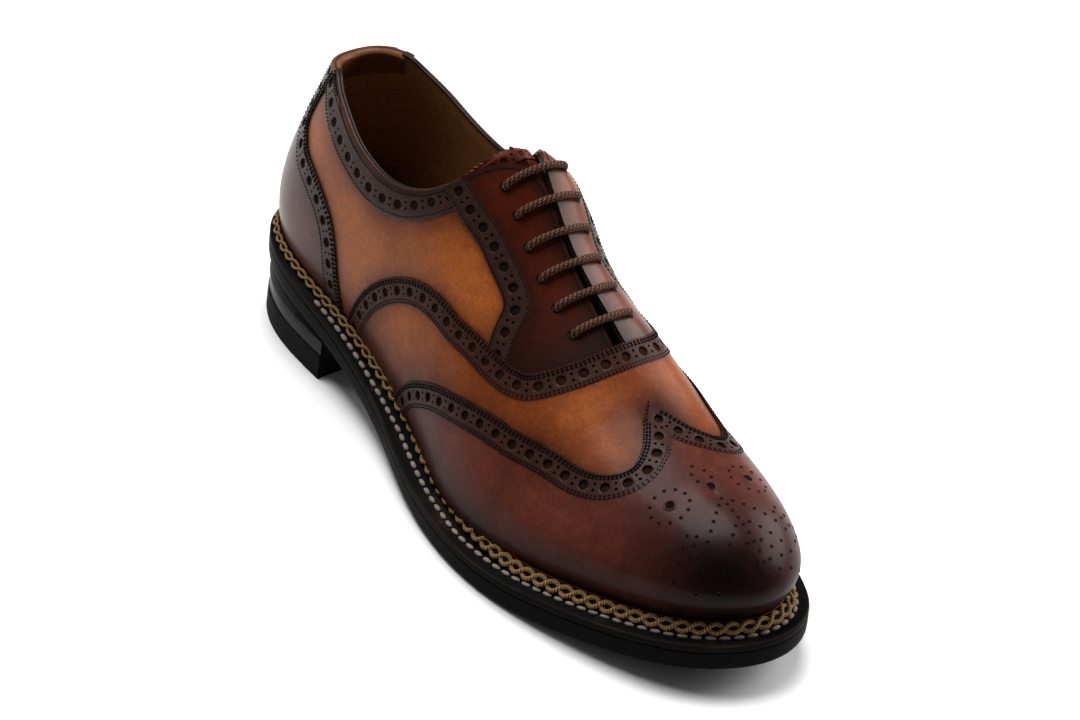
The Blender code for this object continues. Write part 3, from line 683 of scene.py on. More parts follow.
@dataclass(frozen=True)
class Leather(Finish):
    """Burnished calf with a polished surface."""

    core: Colour
    warm: Colour
    deep: Colour
    band: Colour = (0.030, 0.0135, 0.0095)
    # Colour of the hole floors: dark painted shade over the leather that shows through.
    pit: Colour = (0.02, 0.008, 0.005)
    rough: float = 0.36
    coat: float = 0.05
    pores: float = 0.5
    mottle: float = 1.0
    specular: float = 0.09

    def lay_out(self, desk: NodeDesk, shader: Node) -> None:
        """Feed the shader with burnished colour, painted shade and calf grain; hole floors, dark with
        painted shade, get no polish.
        """
        colour = desk.group(Effects.patina(), Core=self.core, Warm=self.warm, Deep=self.deep,
                            Band=self.band, Pit=self.pit, Mottle=self.mottle)
        grain = desk.group(Effects.grain(), Rough=self.rough, Pores=self.pores)
        desk.fill(shader, {
            "Base Color": colour.outputs["Color"],
            "Roughness": grain.outputs["Roughness"],
            "Specular IOR Level": self.specular,
            "Coat Weight": desk.math("MULTIPLY_ADD", desk.attribute("pit"), -self.coat, self.coat),
            "Coat Roughness": 0.16,
            "Normal": desk.bump(grain.outputs["Height"], strength=0.22, distance=0.00012)})


@dataclass(frozen=True)
class Cord(Finish):
    """A braided or twisted cord with a UV map along it."""

    light: Colour
    dark: Colour
    along: float
    around: float
    braided: bool

    def lay_out(self, desk: NodeDesk, shader: Node) -> None:
        """Feed the shader with the cord's yarns, darkened in the low parts of the weave as painted shade.
        """
        if self.braided:
            weave = desk.group(Effects.plait(), Along=self.along, Around=self.around)
            mask, height = weave.outputs["Over"], weave.outputs["Height"]
        else:
            weave = desk.group(Effects.twist(), Turns=self.along, Plies=self.around)
            mask = height = weave.outputs["Ply"]
        fibre = desk.noise(1800.0, 3.0, 0.6)
        light = desk.math("MULTIPLY", mask, desk.spread(fibre, 0.3, 0.7, 0.7, 1.0))
        shade = desk.mix(light, self.dark, self.light)
        relief = desk.math("MULTIPLY_ADD", fibre, 0.25, height)
        # The colour drops to a quarter in the low parts of the weave: painted shade between the yarns.
        desk.fill(shader, {
            "Base Color": desk.toned(shade, desk.spread(height, 0.0, 0.7, 0.25, 1.0)),
            "Roughness": 0.65,
            "Specular IOR Level": 0.12,
            "Normal": desk.bump(relief, strength=0.7, distance=0.00025)})


@dataclass(frozen=True)
class Thread(Finish):
    """Waxed thread of single stitches."""

    colour: Colour
    rough: float

    def lay_out(self, desk: NodeDesk, shader: Node) -> None:
        """Feed the shader with the thread's fibres."""
        fibre = desk.noise(2200.0, 3.0, 0.65)
        desk.fill(shader, {
            "Base Color": desk.toned(self.colour, desk.spread(fibre, 0.3, 0.75, 0.6, 1.25)),
            "Roughness": self.rough,
            "Specular IOR Level": 0.04,
            "Normal": desk.bump(fibre, strength=0.4, distance=0.0001)})


@dataclass(frozen=True)
class Dressed(Finish):
    """A blackened sole edge, heel stack or rubber lift."""

    colour: Colour
    worn: Colour
    rough: float
    lines: float = 0.6
    coat: float = 0.0
    relief: float = 0.25
    specular: float = 0.015

    def lay_out(self, desk: NodeDesk, shader: Node) -> None:
        """Feed the shader with edge dressing."""
        dress = desk.group(Effects.dressing(), Rough=self.rough, Lines=self.lines)
        desk.fill(shader, {
            "Base Color": desk.mix(dress.outputs["Scuff"], self.colour, self.worn),
            "Roughness": dress.outputs["Roughness"],
            "Specular IOR Level": self.specular,
            "Coat Weight": self.coat,
            "Coat Roughness": 0.12,
            "Normal": desk.bump(dress.outputs["Height"], self.relief, distance=0.0002)})


QUARTER = Leather("quarter_calf", Slot.UPPER, (0.30, 0.081, 0.017), (0.155, 0.038, 0.011),
                  (0.026, 0.010, 0.007), band=(0.030, 0.0135, 0.010), pit=(0.008, 0.004, 0.003))
VAMP = Leather("vamp_calf", Slot.UPPER, (0.325, 0.088, 0.019), (0.15, 0.035, 0.009),
               (0.027, 0.007, 0.004), band=(0.032, 0.013, 0.009), pit=(0.016, 0.006, 0.003),
               coat=0.03, specular=0.05)
WING = Leather("wing_calf", Slot.DARK, (0.112, 0.028, 0.016), (0.042, 0.010, 0.007),
               (0.004, 0.0018, 0.0015), band=(0.032, 0.013, 0.009), pit=(0.014, 0.006, 0.003),
               rough=0.37, coat=0.04, specular=0.06)
PUNCHED = replace(WING, name="punched_calf", pit=(0.004, 0.002, 0.0018))
FACING = Leather("facing_calf", Slot.DARK, (0.062, 0.009, 0.003), (0.028, 0.006, 0.003),
                 (0.010, 0.005, 0.004), pit=(0.008, 0.004, 0.003), rough=0.33, coat=0.04,
                 specular=0.05)
COUNTER = Leather("counter_calf", Slot.DARK, (0.080, 0.027, 0.018), (0.046, 0.016, 0.012),
                  (0.016, 0.008, 0.007), pit=(0.012, 0.006, 0.004), rough=0.33, coat=0.07)
# A lighter copy of the facing leather for the inner facing: painted light on the side that the right lamp
# falls on.
FACING_PAINTED_LIT = Leather("facing_calf_painted_lit", Slot.DARK, (0.205, 0.053, 0.021), (0.10, 0.026, 0.013),
                 (0.014, 0.007, 0.006), pit=(0.008, 0.004, 0.003), rough=0.33, coat=0.07)
STRAP = Leather("strap_calf", Slot.LINING, (0.16, 0.062, 0.024), (0.10, 0.038, 0.016),
                (0.03, 0.013, 0.008), rough=0.45, coat=0.05, mottle=0.6)
TONGUE = Leather("tongue_calf", Slot.DARK, (0.10, 0.019, 0.010), (0.06, 0.012, 0.008),
                 (0.016, 0.007, 0.005), band=(0.085, 0.016, 0.008), pit=(0.05, 0.016, 0.007), rough=0.42,
                 coat=0.02)
LINING = Leather("lining_calf", Slot.LINING, (0.27, 0.135, 0.052), (0.17, 0.08, 0.03),
                 (0.05, 0.022, 0.010), rough=0.55, coat=0.0, pores=0.8, mottle=0.6)
FOOTBED = Leather("footbed_calf", Slot.LINING, (0.29, 0.15, 0.06), (0.19, 0.095, 0.04),
                  (0.07, 0.032, 0.014), rough=0.6, coat=0.0, pores=0.8, mottle=0.6)
PIPING = Leather("topline_piping", Slot.DARK, (0.010, 0.007, 0.006), (0.008, 0.006, 0.005),
                 (0.006, 0.005, 0.004), rough=0.4, coat=0.1)
SEWING = Thread("sewing_thread", Slot.DARK, (0.0035, 0.003, 0.003), 0.6)
WELT_THREAD = Thread("welt_thread", Slot.BRAID, (0.24, 0.19, 0.16), 0.55)
LACE = Cord("lace_weave", Slot.LACE, (0.17, 0.062, 0.030), (0.010, 0.006, 0.005), 270.0, 12.0, True)
# The chain cord's dark colour is painted shade in the grooves between its plies.
BRAID = Cord("chain_cord", Slot.BRAID, (0.36, 0.21, 0.085), (0.22, 0.125, 0.05), 900.0, 2.0, False)
WELT = Dressed("welt_black", Slot.EDGE, (0.005, 0.0045, 0.0045), (0.05, 0.03, 0.02), 0.5)
EDGE = Dressed("sole_edge_black", Slot.EDGE, (0.004, 0.0038, 0.0038), (0.016, 0.013, 0.011), 0.5)
STACK = Dressed("heel_stack_black", Slot.EDGE, (0.008, 0.008, 0.009), (0.02, 0.02, 0.02), 0.26, 1.2,
                0.12, 0.15)
RUBBER = Dressed("lift_rubber", Slot.RUBBER, (0.009, 0.009, 0.009), (0.03, 0.028, 0.027), 0.62, 0.2)


def as_mesh(bm: BMesh, name: str) -> bpy.types.Mesh:
    """Return a bmesh as a mesh, and free it."""
    mesh = bpy.data.meshes.new(name)
    bm.to_mesh(mesh)
    bm.free()
    return mesh


def linked(name: str, data: bpy.types.ID) -> bpy.types.Object:
    """Return a new object in the scene."""
    made = bpy.data.objects.new(name, data)
    bpy.context.scene.collection.objects.link(made)
    return made


def dress(bm: BMesh, name: str, finish: Finish, nodes: Sequence[str] = (),
          marks: dict[str, Array] | None = None, sharp: float = 50.0) -> None:
    """Make a piece that rides on the shoe's one body.

    Args:
        bm: The shape, in metres in the frame. It is freed.
        name: The piece's name.
        finish: Its finish.
        nodes: The CAD nodes that it stands for.
        marks: Vertex attributes by name.
        sharp: Edges that bend more than this, in degrees, stay crisp.
    """
    mesh = as_mesh(bm, name)
    mesh.polygons.foreach_set("use_smooth", [True] * len(mesh.polygons))
    mesh.set_sharp_from_angle(angle=math.radians(sharp))
    for label, values in (marks or {}).items():
        layer = mesh.attributes.new(label, "FLOAT", "POINT")
        layer.data.foreach_set("value", np.asarray(values, np.float32))
    mesh.materials.append(finish.material())
    piece = linked(name, mesh)
    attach(piece, "root")
    if nodes:
        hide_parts(*nodes)
    LOG.info("%s: %d faces", name, len(mesh.polygons))


def weld(bm: BMesh, reach: float = 2e-6) -> None:
    """Merge the vertices that meet."""
    bmesh.ops.remove_doubles(bm, verts=bm.verts, dist=reach)


def face_up(bm: BMesh) -> None:
    """Turn the faces over where they look down."""
    bm.normal_update()
    if sum(face.normal.z for face in bm.faces) < 0:
        bmesh.ops.reverse_faces(bm, faces=bm.faces)


def face_out(bm: BMesh) -> None:
    """Turn the faces outwards."""
    bmesh.ops.recalc_face_normals(bm, faces=bm.faces)


def border(bm: BMesh, test: Callable[[Vert], bool] = lambda vert: True) -> Edges:
    """Return the boundary edges whose vertices all pass a test."""
    return [edge for edge in bm.edges if edge.is_boundary and all(map(test, edge.verts))]


def extruded(bm: BMesh, edges: Edges) -> tuple[list[Vert], Edges]:
    """Extrude edges, and return the new vertices and the edges between them."""
    made = bmesh.ops.extrude_edge_only(bm, edges=edges)["geom"]
    verts = [item for item in made if isinstance(item, Vert)]
    fresh = set(verts)
    return verts, [item for item in made
                   if isinstance(item, bmesh.types.BMEdge) and fresh.issuperset(item.verts)]


def stamp(bm: BMesh, mesh: bpy.types.Mesh, matrix: Matrix) -> None:
    """Add a copy of a mesh to a bmesh."""
    known = len(bm.verts)
    bm.from_mesh(mesh)
    bm.verts.ensure_lookup_table()
    bmesh.ops.transform(bm, matrix=matrix, verts=bm.verts[known:])


def facing(place: Array, normal: Array) -> Matrix:
    """Return the turn and place of something whose Z axis follows a normal."""
    turn = Vector(normal).to_track_quat("Z", "Y").to_matrix().to_4x4()
    return Matrix.Translation(Vector(place)) @ turn


def settle(bm: BMesh, points: Array) -> None:
    """Move a bmesh's vertices to table points."""
    for vert, place in zip(bm.verts, placed(points)):
        vert.co = place


def grid(columns: int, rows: int, shape: Callable[[Array, Array], Array], cord: bool = False) -> BMesh:
    """Make a grid and move it onto a shape.

    Args:
        columns: Cells along the first number.
        rows: Cells along the second number.
        shape: Gives table points for arrays of the two numbers, each from 0 to 1.
        cord: Whether to keep the grid's UV map for a cord's pattern.

    Returns:
        The grid in the frame, in metres.
    """
    bm = bmesh.new()
    if cord:
        bm.loops.layers.uv.new("cord")
    bmesh.ops.create_grid(bm, x_segments=columns, y_segments=rows, size=1, calc_uvs=cord)
    flat = np.array([vert.co[:2] for vert in bm.verts]) / 2 + 0.5
    settle(bm, shape(flat[:, 0], flat[:, 1]))
    return bm


def nearest(points: Array, line: Array) -> Array:
    """Return each point's distance to a line given by close points."""
    sparse = line[::max(1, len(line) // 250)]
    return np.concatenate([
        np.sqrt(((part[:, None] - sparse[None]) ** 2).sum(-1).min(1))
        for part in np.array_split(points, max(1, len(points) // 3000))])


def inside(points: Array, outline: Rows) -> Array:
    """Return which flat points lie inside a closed outline."""
    x, y = points.T
    hit = np.zeros(len(points), bool)
    for (ax, ay), (bx, by) in zip(outline, np.roll(outline, -1, axis=0)):
        cross = (ay > y) != (by > y)
        if ay != by:
            hit ^= cross & (x < (bx - ax) * (y - ay) / (by - ay) + ax)
    return hit


@dataclass
class PatinaAndShade:
    """A line that a piece darkens along: burnished patina, and painted shade where the line lies at a foot,
    a corner or a hollow.
    """

    line: Array
    reach: float
    depth: float


def table_points(bm: BMesh) -> Array:
    """Return a bmesh's vertices in table millimetres."""
    return np.array([vert.co for vert in bm.verts]) / MM + LAST.centre


def patina_and_shade_mark(bm: BMesh, patinas_and_shades: Sequence[PatinaAndShade], base: float = 0.0) -> dict[str, Array]:
    """Return a mark that darkens a piece along lines, as burnished patina and as painted shade.

    Args:
        bm: The piece.
        patinas_and_shades: Lines and spots to darken along.
        base: Darkness away from all of them.

    Returns:
        One value from 0 to 1 for each vertex, by the mark's name.
    """
    points = table_points(bm)
    clear = np.full(len(points), 1.0 - base)
    for patina_shade in patinas_and_shades:
        clear *= 1 - patina_shade.depth * np.exp(-(nearest(points, patina_shade.line) / patina_shade.reach) ** 1.4)
    return {"patina_and_shade": 1 - clear}


def even(bm: BMesh, value: float) -> dict[str, Array]:
    """Return the mark of burnished patina and painted shade at one strength for all of a bmesh."""
    return {"patina_and_shade": np.full(len(bm.verts), value)}


def burns_along(seams: Sequence[Seam], reach: float, depth: float, most: float = 9.0) -> list[PatinaAndShade]:
    """Return burnished lines of one strength along several seams, as far as these keep under a rise."""
    return [PatinaAndShade(seam.points[seam.track[:, 1] <= most], reach, depth) for seam in seams]


@dataclass
class Broguing:
    """A punched band laid along a seam: large holes, paired pinholes and a finished edge."""

    pitch: float = 8.2
    hole: float = 1.88
    pinhole: float = 0.55
    cell: float = 4.7
    width: float = 4.8
    margin: float = 4.2
    edge_at: float = 4.8
    inner_at: float = 4.7
    depth: float = 0.7
    tooth: float = 0.42
    leather: float = 1.2
    wide: float = 4.0
    edge: Edge = Edge.GIMPED
    lip: Pair = (1.12, -0.14)
    turned: Triple = (0.25, -0.35, -0.3)

    def cell_mesh(self, length: float, width: float, radius: float, segments: int) -> bpy.types.Mesh:
        """Return a flat rectangular cell with one round hole sunk into it."""
        bm = bmesh.new()
        flare, lip_level = self.lip
        lip = radius * flare
        bmesh.ops.create_circle(bm, segments=segments, radius=lip)
        ring = list(bm.edges)
        for vert in bmesh.ops.create_circle(bm, segments=segments, radius=1.0)["verts"]:
            turn = math.atan2(vert.co.y, vert.co.x) / (math.pi / 2)
            side = round(turn)
            share = 2 * (turn - side)
            x, y = {0: (1, share), 1: (-share, 1), -1: (share, -1)}.get(side, (-1, -share))
            vert.co = (x * length / 2, y * width / 2, 0)
        bmesh.ops.bridge_loops(bm, edges=bm.edges[:])
        for scale, level in ((radius / lip, lip_level), (1.0, -self.depth)):
            verts, ring = extruded(bm, ring)
            for vert in verts:
                vert.co = (vert.co.x * scale, vert.co.y * scale, level)
        bmesh.ops.contextual_create(bm, geom=ring)
        face_out(bm)
        face_up(bm)
        return as_mesh(bm, "cell")

    def grow(self, bm: BMesh, start: float, end: float, level: float = 0.0) -> None:
        """Widen the band from its boundary at one offset to another offset and level."""
        for vert in extruded(bm, border(bm, lambda vert: abs(vert.co.y - start) < 1e-3))[0]:
            vert.co = (vert.co.x, end, level)

    def gimp(self, bm: BMesh) -> None:
        """Cut the outer edge into teeth and give it its thickness."""
        def free() -> Edges:
            """Return the edges along the free side."""
            return border(bm, lambda vert: vert.co.y > self.edge_at - self.tooth - 0.01)

        bmesh.ops.subdivide_edges(bm, edges=free(), cuts=1)
        teeth = {vert for edge in free() for vert in edge.verts}
        for order, vert in enumerate(sorted(teeth, key=lambda vert: tuple(vert.co))):
            vert.co.y += self.tooth * (0.5 if order % 2 else -0.5)
        for vert in extruded(bm, free())[0]:
            vert.co = (vert.co.x, vert.co.y - 0.1, -self.leather)

    def flat(self, count: int) -> BMesh:
        """Return the band laid out flat in millimetres, with a number of large holes."""
        short = self.pitch - self.cell
        half = self.width / 2
        large = self.cell_mesh(self.cell, self.width, self.hole, 16)
        small = self.cell_mesh(short, half, self.pinhole, 8)
        bm = bmesh.new()
        for index in range(count):
            start = index * self.pitch
            for mesh, x, y in ((small, start + short / 2, half / 2), (small, start + short / 2, -half / 2),
                               (large, start + short + self.cell / 2, 0.0)):
                stamp(bm, mesh, Matrix.Translation((x, y, 0)))
        for mesh in (large, small):
            bpy.data.meshes.remove(mesh)
        weld(bm, 1e-3)
        fold, outer, inner = self.turned
        self.grow(bm, half, self.margin)
        self.grow(bm, self.margin, self.edge_at)
        if self.edge is Edge.GIMPED:
            self.gimp(bm)
        else:
            self.grow(bm, self.edge_at, self.edge_at + fold, outer)
        self.grow(bm, -half, -self.inner_at)
        self.grow(bm, -self.inner_at, -self.inner_at - fold, inner)
        return bm

    def lay(self, seam: Seam, lift: float, roof: Callable[[Array], Array] | None = None,
            anchor: float | None = None) -> BMesh:
        """Lay the band on a seam.

        Args:
            seam: The line of the large holes; the finished edge is on its far side.
            lift: Height of the band's face above the skin.
            roof: The highest rise for each station, where the band is trimmed off.
            anchor: Distance along the seam where a large hole has its centre.

        Returns:
            The band in the frame, with its band and pit marks.
        """
        if anchor is None:
            count = max(1, round(seam.length / self.pitch))
            scale, shift = seam.length / (count * self.pitch), 0.0
        else:
            first = self.pitch - self.cell / 2
            scale, shift = 1.0, (anchor - first) % self.pitch - self.pitch
            count = math.ceil((seam.length - shift) / self.pitch)
        bm = self.flat(count)
        bm.verts.index_update()
        flat = np.array([vert.co for vert in bm.verts])
        along = flat[:, 0] * scale + shift
        p, q = seam.spot(np.clip(along, 0, seam.length), flat[:, 1])
        over = (along < 0) | (along > seam.length + 1e-6)
        if roof is not None:
            over |= q >= roof(p)
            q = np.minimum(q, roof(p))
        settle(bm, seam.skin.lifted(p, q, lift + flat[:, 2]))
        side = np.abs(flat[:, 1])
        sunk = flat[:, 2] < -0.6 * self.depth
        # The sunk floors of the holes are marked as pits, for their colour of painted shade.
        marks = {"band": np.clip((3.0 - side) / 0.5 + self.wide, 0, 1),
                 "pit": sunk & (side < self.width / 2)}
        for label, values in marks.items():
            layer = bm.verts.layers.float.new(label)
            for vert, value in zip(bm.verts, values):
                vert[layer] = float(value)
        trimmed = [face for face in bm.faces if all(over[vert.index] for vert in face.verts)]
        bmesh.ops.delete(bm, geom=trimmed, context="FACES")
        return bm


@dataclass
class Stitching:
    """Rows of single stitches beside a seam."""

    pitch: float = 1.45
    length: float = 1.2
    width: float = 0.68
    height: float = 0.6

    def sew(self, bm: BMesh, seam: Seam, rows: Sequence[float], lift: float,
            keep: Callable[[Array, Array], Array] | None = None) -> None:
        """Add rows of stitches to a bmesh.

        Args:
            bm: Where the stitches go.
            seam: The line that the rows follow.
            rows: Each row's distance from the line.
            lift: Height of the leather under the rows.
            keep: Tells which places of the skin get a stitch, where not all do.
        """
        count = int(seam.length / self.pitch)
        along = (np.arange(count) + 0.5) * seam.length / count
        size = (self.length, self.width, self.height)
        for across in rows:
            p, q = seam.spot(along, across)
            middle, head, tail = (seam.lifted(along + step, across, lift) for step in (0.0, 0.3, -0.3))
            ahead, normal = unit(head - tail), seam.skin.normal(p, q)
            for index in np.flatnonzero(np.ones(count) if keep is None else keep(p, q)):
                bead(bm, middle[index], ahead[index], normal[index], size)


def bead(bm: BMesh, middle: Array, ahead: Array, up: Array,
         size: Triple, fine: int = 1) -> None:
    """Add a stretched round form.

    Args:
        bm: Where it goes.
        middle: Its table point.
        ahead: The direction of its length.
        up: The direction of its height, roughly.
        size: Length, width and height.
        fine: How often the form is subdivided.
    """
    side = unit(np.cross(up, ahead))
    axes = np.eye(4)
    for column, (axis, length) in enumerate(zip((ahead, side, np.cross(ahead, side)), size)):
        axes[:3, column] = axis * length / 2 * MM
    axes[:3, 3] = placed(middle)
    bmesh.ops.create_icosphere(bm, subdivisions=fine, radius=1.0, matrix=Matrix(axes))


FINE_SEWING = Stitching()
BOLD_SEWING = Stitching(1.75, 1.5, 1.1, 1.0)


def below_ridge(station: Array, rise: Array) -> Array:
    """Return which places lie on their own side of the ridge."""
    return rise < np.where(station < LAST.count / 2, 0.96, 0.985)


@dataclass
class Crease:
    """A shallow fold in the leather along a short line on the last."""

    rows: Rows
    width: float
    depth: float

    def relief(self, station: Array, rise: Array) -> Array:
        """Return how far the fold moves the leather, with a soft swell on both sides."""
        gap = nearest(LAST.point(station, rise), Seam(LAST, self.rows).points) / self.width
        return self.depth * (0.5 * np.exp(-(gap / 2.4) ** 2) - np.exp(-gap ** 2))


WING_CREASES = (
    Crease(((7.22, 0.20), (7.5, 0.32), (7.9, 0.47)), 1.5, 0.30),
    Crease(((6.75, 0.22), (6.95, 0.31), (7.15, 0.40)), 1.3, 0.14),
)
VAMP_CREASES = (
    Crease(((6.75, 0.62), (6.9, 0.72), (7.0, 0.82)), 2.2, 0.10),
    Crease(((6.55, 0.66), (6.68, 0.75), (6.74, 0.84)), 2.0, 0.07),
)


@dataclass
class Panel:
    """A leather piece on the last: a span of stations, between two rises, trimmed to an outline."""

    stations: Pair
    columns: int
    rows: int
    lift: float
    outline: Rows | None = None
    top: Callable[[Array], Array] | None = None
    bottom: float = 0.0
    creases: Sequence[Crease] = ()

    def build(self) -> BMesh:
        """Return the trimmed panel in the frame."""
        first, last = self.stations
        spots = {}

        def shape(a: Array, b: Array) -> Array:
            """Place the grid on the last."""
            station = first + (last - first) * a
            high = self.top(station) if self.top else np.ones_like(a)
            rise = self.bottom + (high - self.bottom) * b
            spots["flat"] = np.stack([LAST.half(station), rise], -1)
            lift = np.full(a.shape, self.lift)
            for crease in self.creases:
                lift += crease.relief(station, rise)
            return LAST.lifted(station, rise, lift)

        bm = grid(self.columns, self.rows, shape)
        if self.outline is not None:
            middles = np.array([spots["flat"][[vert.index for vert in face.verts]].mean(0)
                                for face in bm.faces])
            keep = inside(middles, self.outline)
            waste = [face for face, kept in zip(list(bm.faces), keep) if not kept]
            bmesh.ops.delete(bm, geom=waste, context="FACES")
        weld(bm, 1e-6)
        return bm


class Pattern:
    """The seams that the leather pieces share."""

    def __init__(self) -> None:
        """Draw the seams on the last."""
        self.wings = [Seam(LAST, WING_LINE), Seam(LAST, mirrored(WING_LINE))]
        self.vamp = Seam(LAST, over_ridge(VAMP_LINE))
        self.facings = [Seam(LAST, FACING_LINE), Seam(LAST, mirrored(FACING_LINE))]
        self.collars = [Seam(LAST, COLLAR_LINE), Seam(LAST, behind(COLLAR_LINE))]
        self.counters = [Seam(LAST, COUNTER_LINE), Seam(LAST, behind(COUNTER_LINE))]
        stations = np.linspace(-4.3, 4.3, 160)
        self.topline = Seam(LAST, list(zip(stations, LAST.collar_rise(stations))))
        throat = np.linspace(4.34, 6.2, 20)
        edge = list(zip(throat, LAST.collar_rise(throat)))
        self.throats = [Seam(LAST, edge), Seam(LAST, mirrored(edge))]
        self.feather = LAST.wall(np.linspace(0, LAST.count, 500), np.zeros(500))


SIDES = ("outer", "inner")
UNDERLAP = 3.4
PEAK = 1.12
BOLD_ROWS = (3.1, 4.1)
FINE_ROWS = (-3.2, -4.2)
ROUND = 180.0


def under_topline(trim: float) -> Callable[[Array, Array], Array]:
    """Return a test for places that lie under the topline by more than a trim."""
    return lambda station, rise: rise < LAST.collar_rise(station) - trim


@dataclass
class Upper:
    """The quarters, with the collar's rolled edge, its piping and the lining inside."""

    pattern: Pattern
    lift: float = 1.0
    roll: float = -0.3
    lining_edge: float = -1.2
    lining_lift: float = -1.9
    band_rise: float = 0.55
    trim: float = 0.012
    strap: float = 1.42
    columns: int = 528
    rows: int = 56
    turns: int = 6
    rim: Rows = ((0, 0.6), (4.0, 0.6), (4.3, 0.25), (11, 0.25))
    pipe: float = 0.58
    pipe_lift: Rows = ((4.0, -0.75), (4.4, -0.2))
    pipe_over: Rows = ((4.0, 0.4), (4.4, 0.1))

    def quarters(self) -> None:
        """Make the outer leather with the collar's rolled edge."""
        total = self.rows + self.turns

        def shape(a: Array, b: Array) -> Array:
            """Place rows up the wall, then over the collar's edge."""
            station = a * LAST.count
            row = b * total
            rise = np.minimum(row / self.rows, 1) * LAST.collar_rise(station)
            turn = np.clip((row - self.rows) / self.turns, 0, 1) * np.pi
            closed = LAST.half(station) > THROAT_END - 0.02
            middle, reach = (self.lift + self.roll) / 2, (self.lift - self.roll) / 2
            lift = np.where(closed, self.lift, middle + reach * np.cos(turn))
            over = np.where(closed, 0, read(self.rim, LAST.half(station)) * np.sin(turn) / RISE_MM)
            return LAST.lifted(station, rise + over, lift)

        bm = grid(self.columns, total, shape)
        weld(bm)
        seams = self.pattern
        # The quarters darken towards the feather: burnished patina, with painted shade where the wall meets
        # the welt.
        patinas_and_shades = [PatinaAndShade(seams.feather, 9, 0.6)]
        for lines, reach, depth in ((seams.collars, 9.5, 0.85), (seams.facings, 7, 0.65),
                                    ([seams.vamp], 8.5, 0.8), (seams.counters, 8.5, 0.8),
                                    ([seams.topline], 5, 0.9), (seams.throats, 8, 0.9)):
            patinas_and_shades += burns_along(lines, reach, depth)
        dress(bm, "quarters", QUARTER, ["upper"], patina_and_shade_mark(bm, patinas_and_shades))

    def lining(self) -> None:
        """Make the lining that shows inside the collar."""
        def shape(a: Array, b: Array) -> Array:
            """Place the lining from the collar down to the footbed."""
            station = a * LAST.count
            rise = LAST.collar_rise(station) * (1 - b) + 0.03 * b
            return LAST.lifted(station, rise, read(((0, self.lining_edge), (0.06, self.lining_lift)), b))

        bm = grid(352, 34, shape)
        weld(bm)
        # The lining darkens a little along the topline, burnished, and strongly down towards the footbed as
        # painted shade inside the shoe.
        patinas_and_shades = [PatinaAndShade(self.pattern.topline.points, 4, 0.3),
                 PatinaAndShade(self.pattern.feather + (0, 0, 6), 16, 0.7)]
        dress(bm, "lining", LINING, ["upper"], patina_and_shade_mark(bm, patinas_and_shades, 0.1))

    def below_topline(self, station: Array) -> Array:
        """Return the highest rise of what is sewn on under the topline."""
        return LAST.collar_rise(station) - self.trim

    def collar(self) -> None:
        """Make the punched collar bands and their stitching."""
        sewn = bmesh.new()
        level = self.lift + self.band_rise
        for name, seam in zip(SIDES, self.pattern.collars):
            band = Broguing(edge=Edge.PLAIN, edge_at=5.0, inner_at=4.9, depth=0.5)
            bm = band.lay(seam, level, self.below_topline)
            dress(bm, f"collar_band_{name}", QUARTER, ["collar_band"], even(bm, 0.9))
            FINE_SEWING.sew(sewn, seam, [-4.2], level)
        FINE_SEWING.sew(sewn, self.pattern.topline, [-1.7], level + 0.15,
                        lambda station, rise: np.abs(station) > self.strap + 0.05)
        dress(sewn, "collar_stitching", SEWING, sharp=ROUND)

    def piping(self) -> None:
        """Make the dark piping along the topline and down both edges of the throat."""
        station = np.linspace(self.strap - 0.06, 6.2, 420)
        rise = LAST.collar_rise(station) + read(self.pipe_over, station) / RISE_MM
        for name, way in zip(SIDES, (1, -1)):
            bm = tube(LAST.lifted(way * station, rise, read(self.pipe_lift, station)), self.pipe, 8)
            dress(bm, f"piping_{name}", PIPING, ["upper"], even(bm, 1.0))

    def build(self) -> None:
        """Make all of the upper's pieces."""
        self.quarters()
        self.lining()
        self.collar()
        self.piping()


def tube(path: Array, radius: float | Array, sides: int, closed: bool = False) -> BMesh:
    """Make a round cord along a path.

    Args:
        path: Table points along the cord's centre.
        radius: The cord's radius, or one for each point.
        sides: Cells round it.
        closed: Whether the path's ends meet.

    Returns:
        The cord in the frame, with a UV map named cord.
    """
    ahead = np.gradient(path, axis=0)
    if closed:
        ahead[0] = ahead[-1] = path[1] - path[-2]
    ahead = unit(ahead)
    side = unit(np.cross(ahead, (0.0, 0.0, 1.0)))
    if not closed:
        for index in range(1, len(path)):
            way, axis = side[index - 1], ahead[index]
            side[index] = unit(way - axis * (way @ axis))
    third = np.cross(ahead, side)
    wide = np.broadcast_to(radius, len(path))[:, None]

    def shape(a: Array, b: Array) -> Array:
        """Place the grid round the path."""
        index = row_of(a, len(path))
        turn = 2 * np.pi * b[:, None]
        return path[index] + wide[index] * (side[index] * np.cos(turn) + third[index] * np.sin(turn))

    bm = grid(len(path) - 1, sides, shape, cord=True)
    weld(bm)
    if not closed:
        bmesh.ops.holes_fill(bm, edges=border(bm))
    face_out(bm)
    return bm


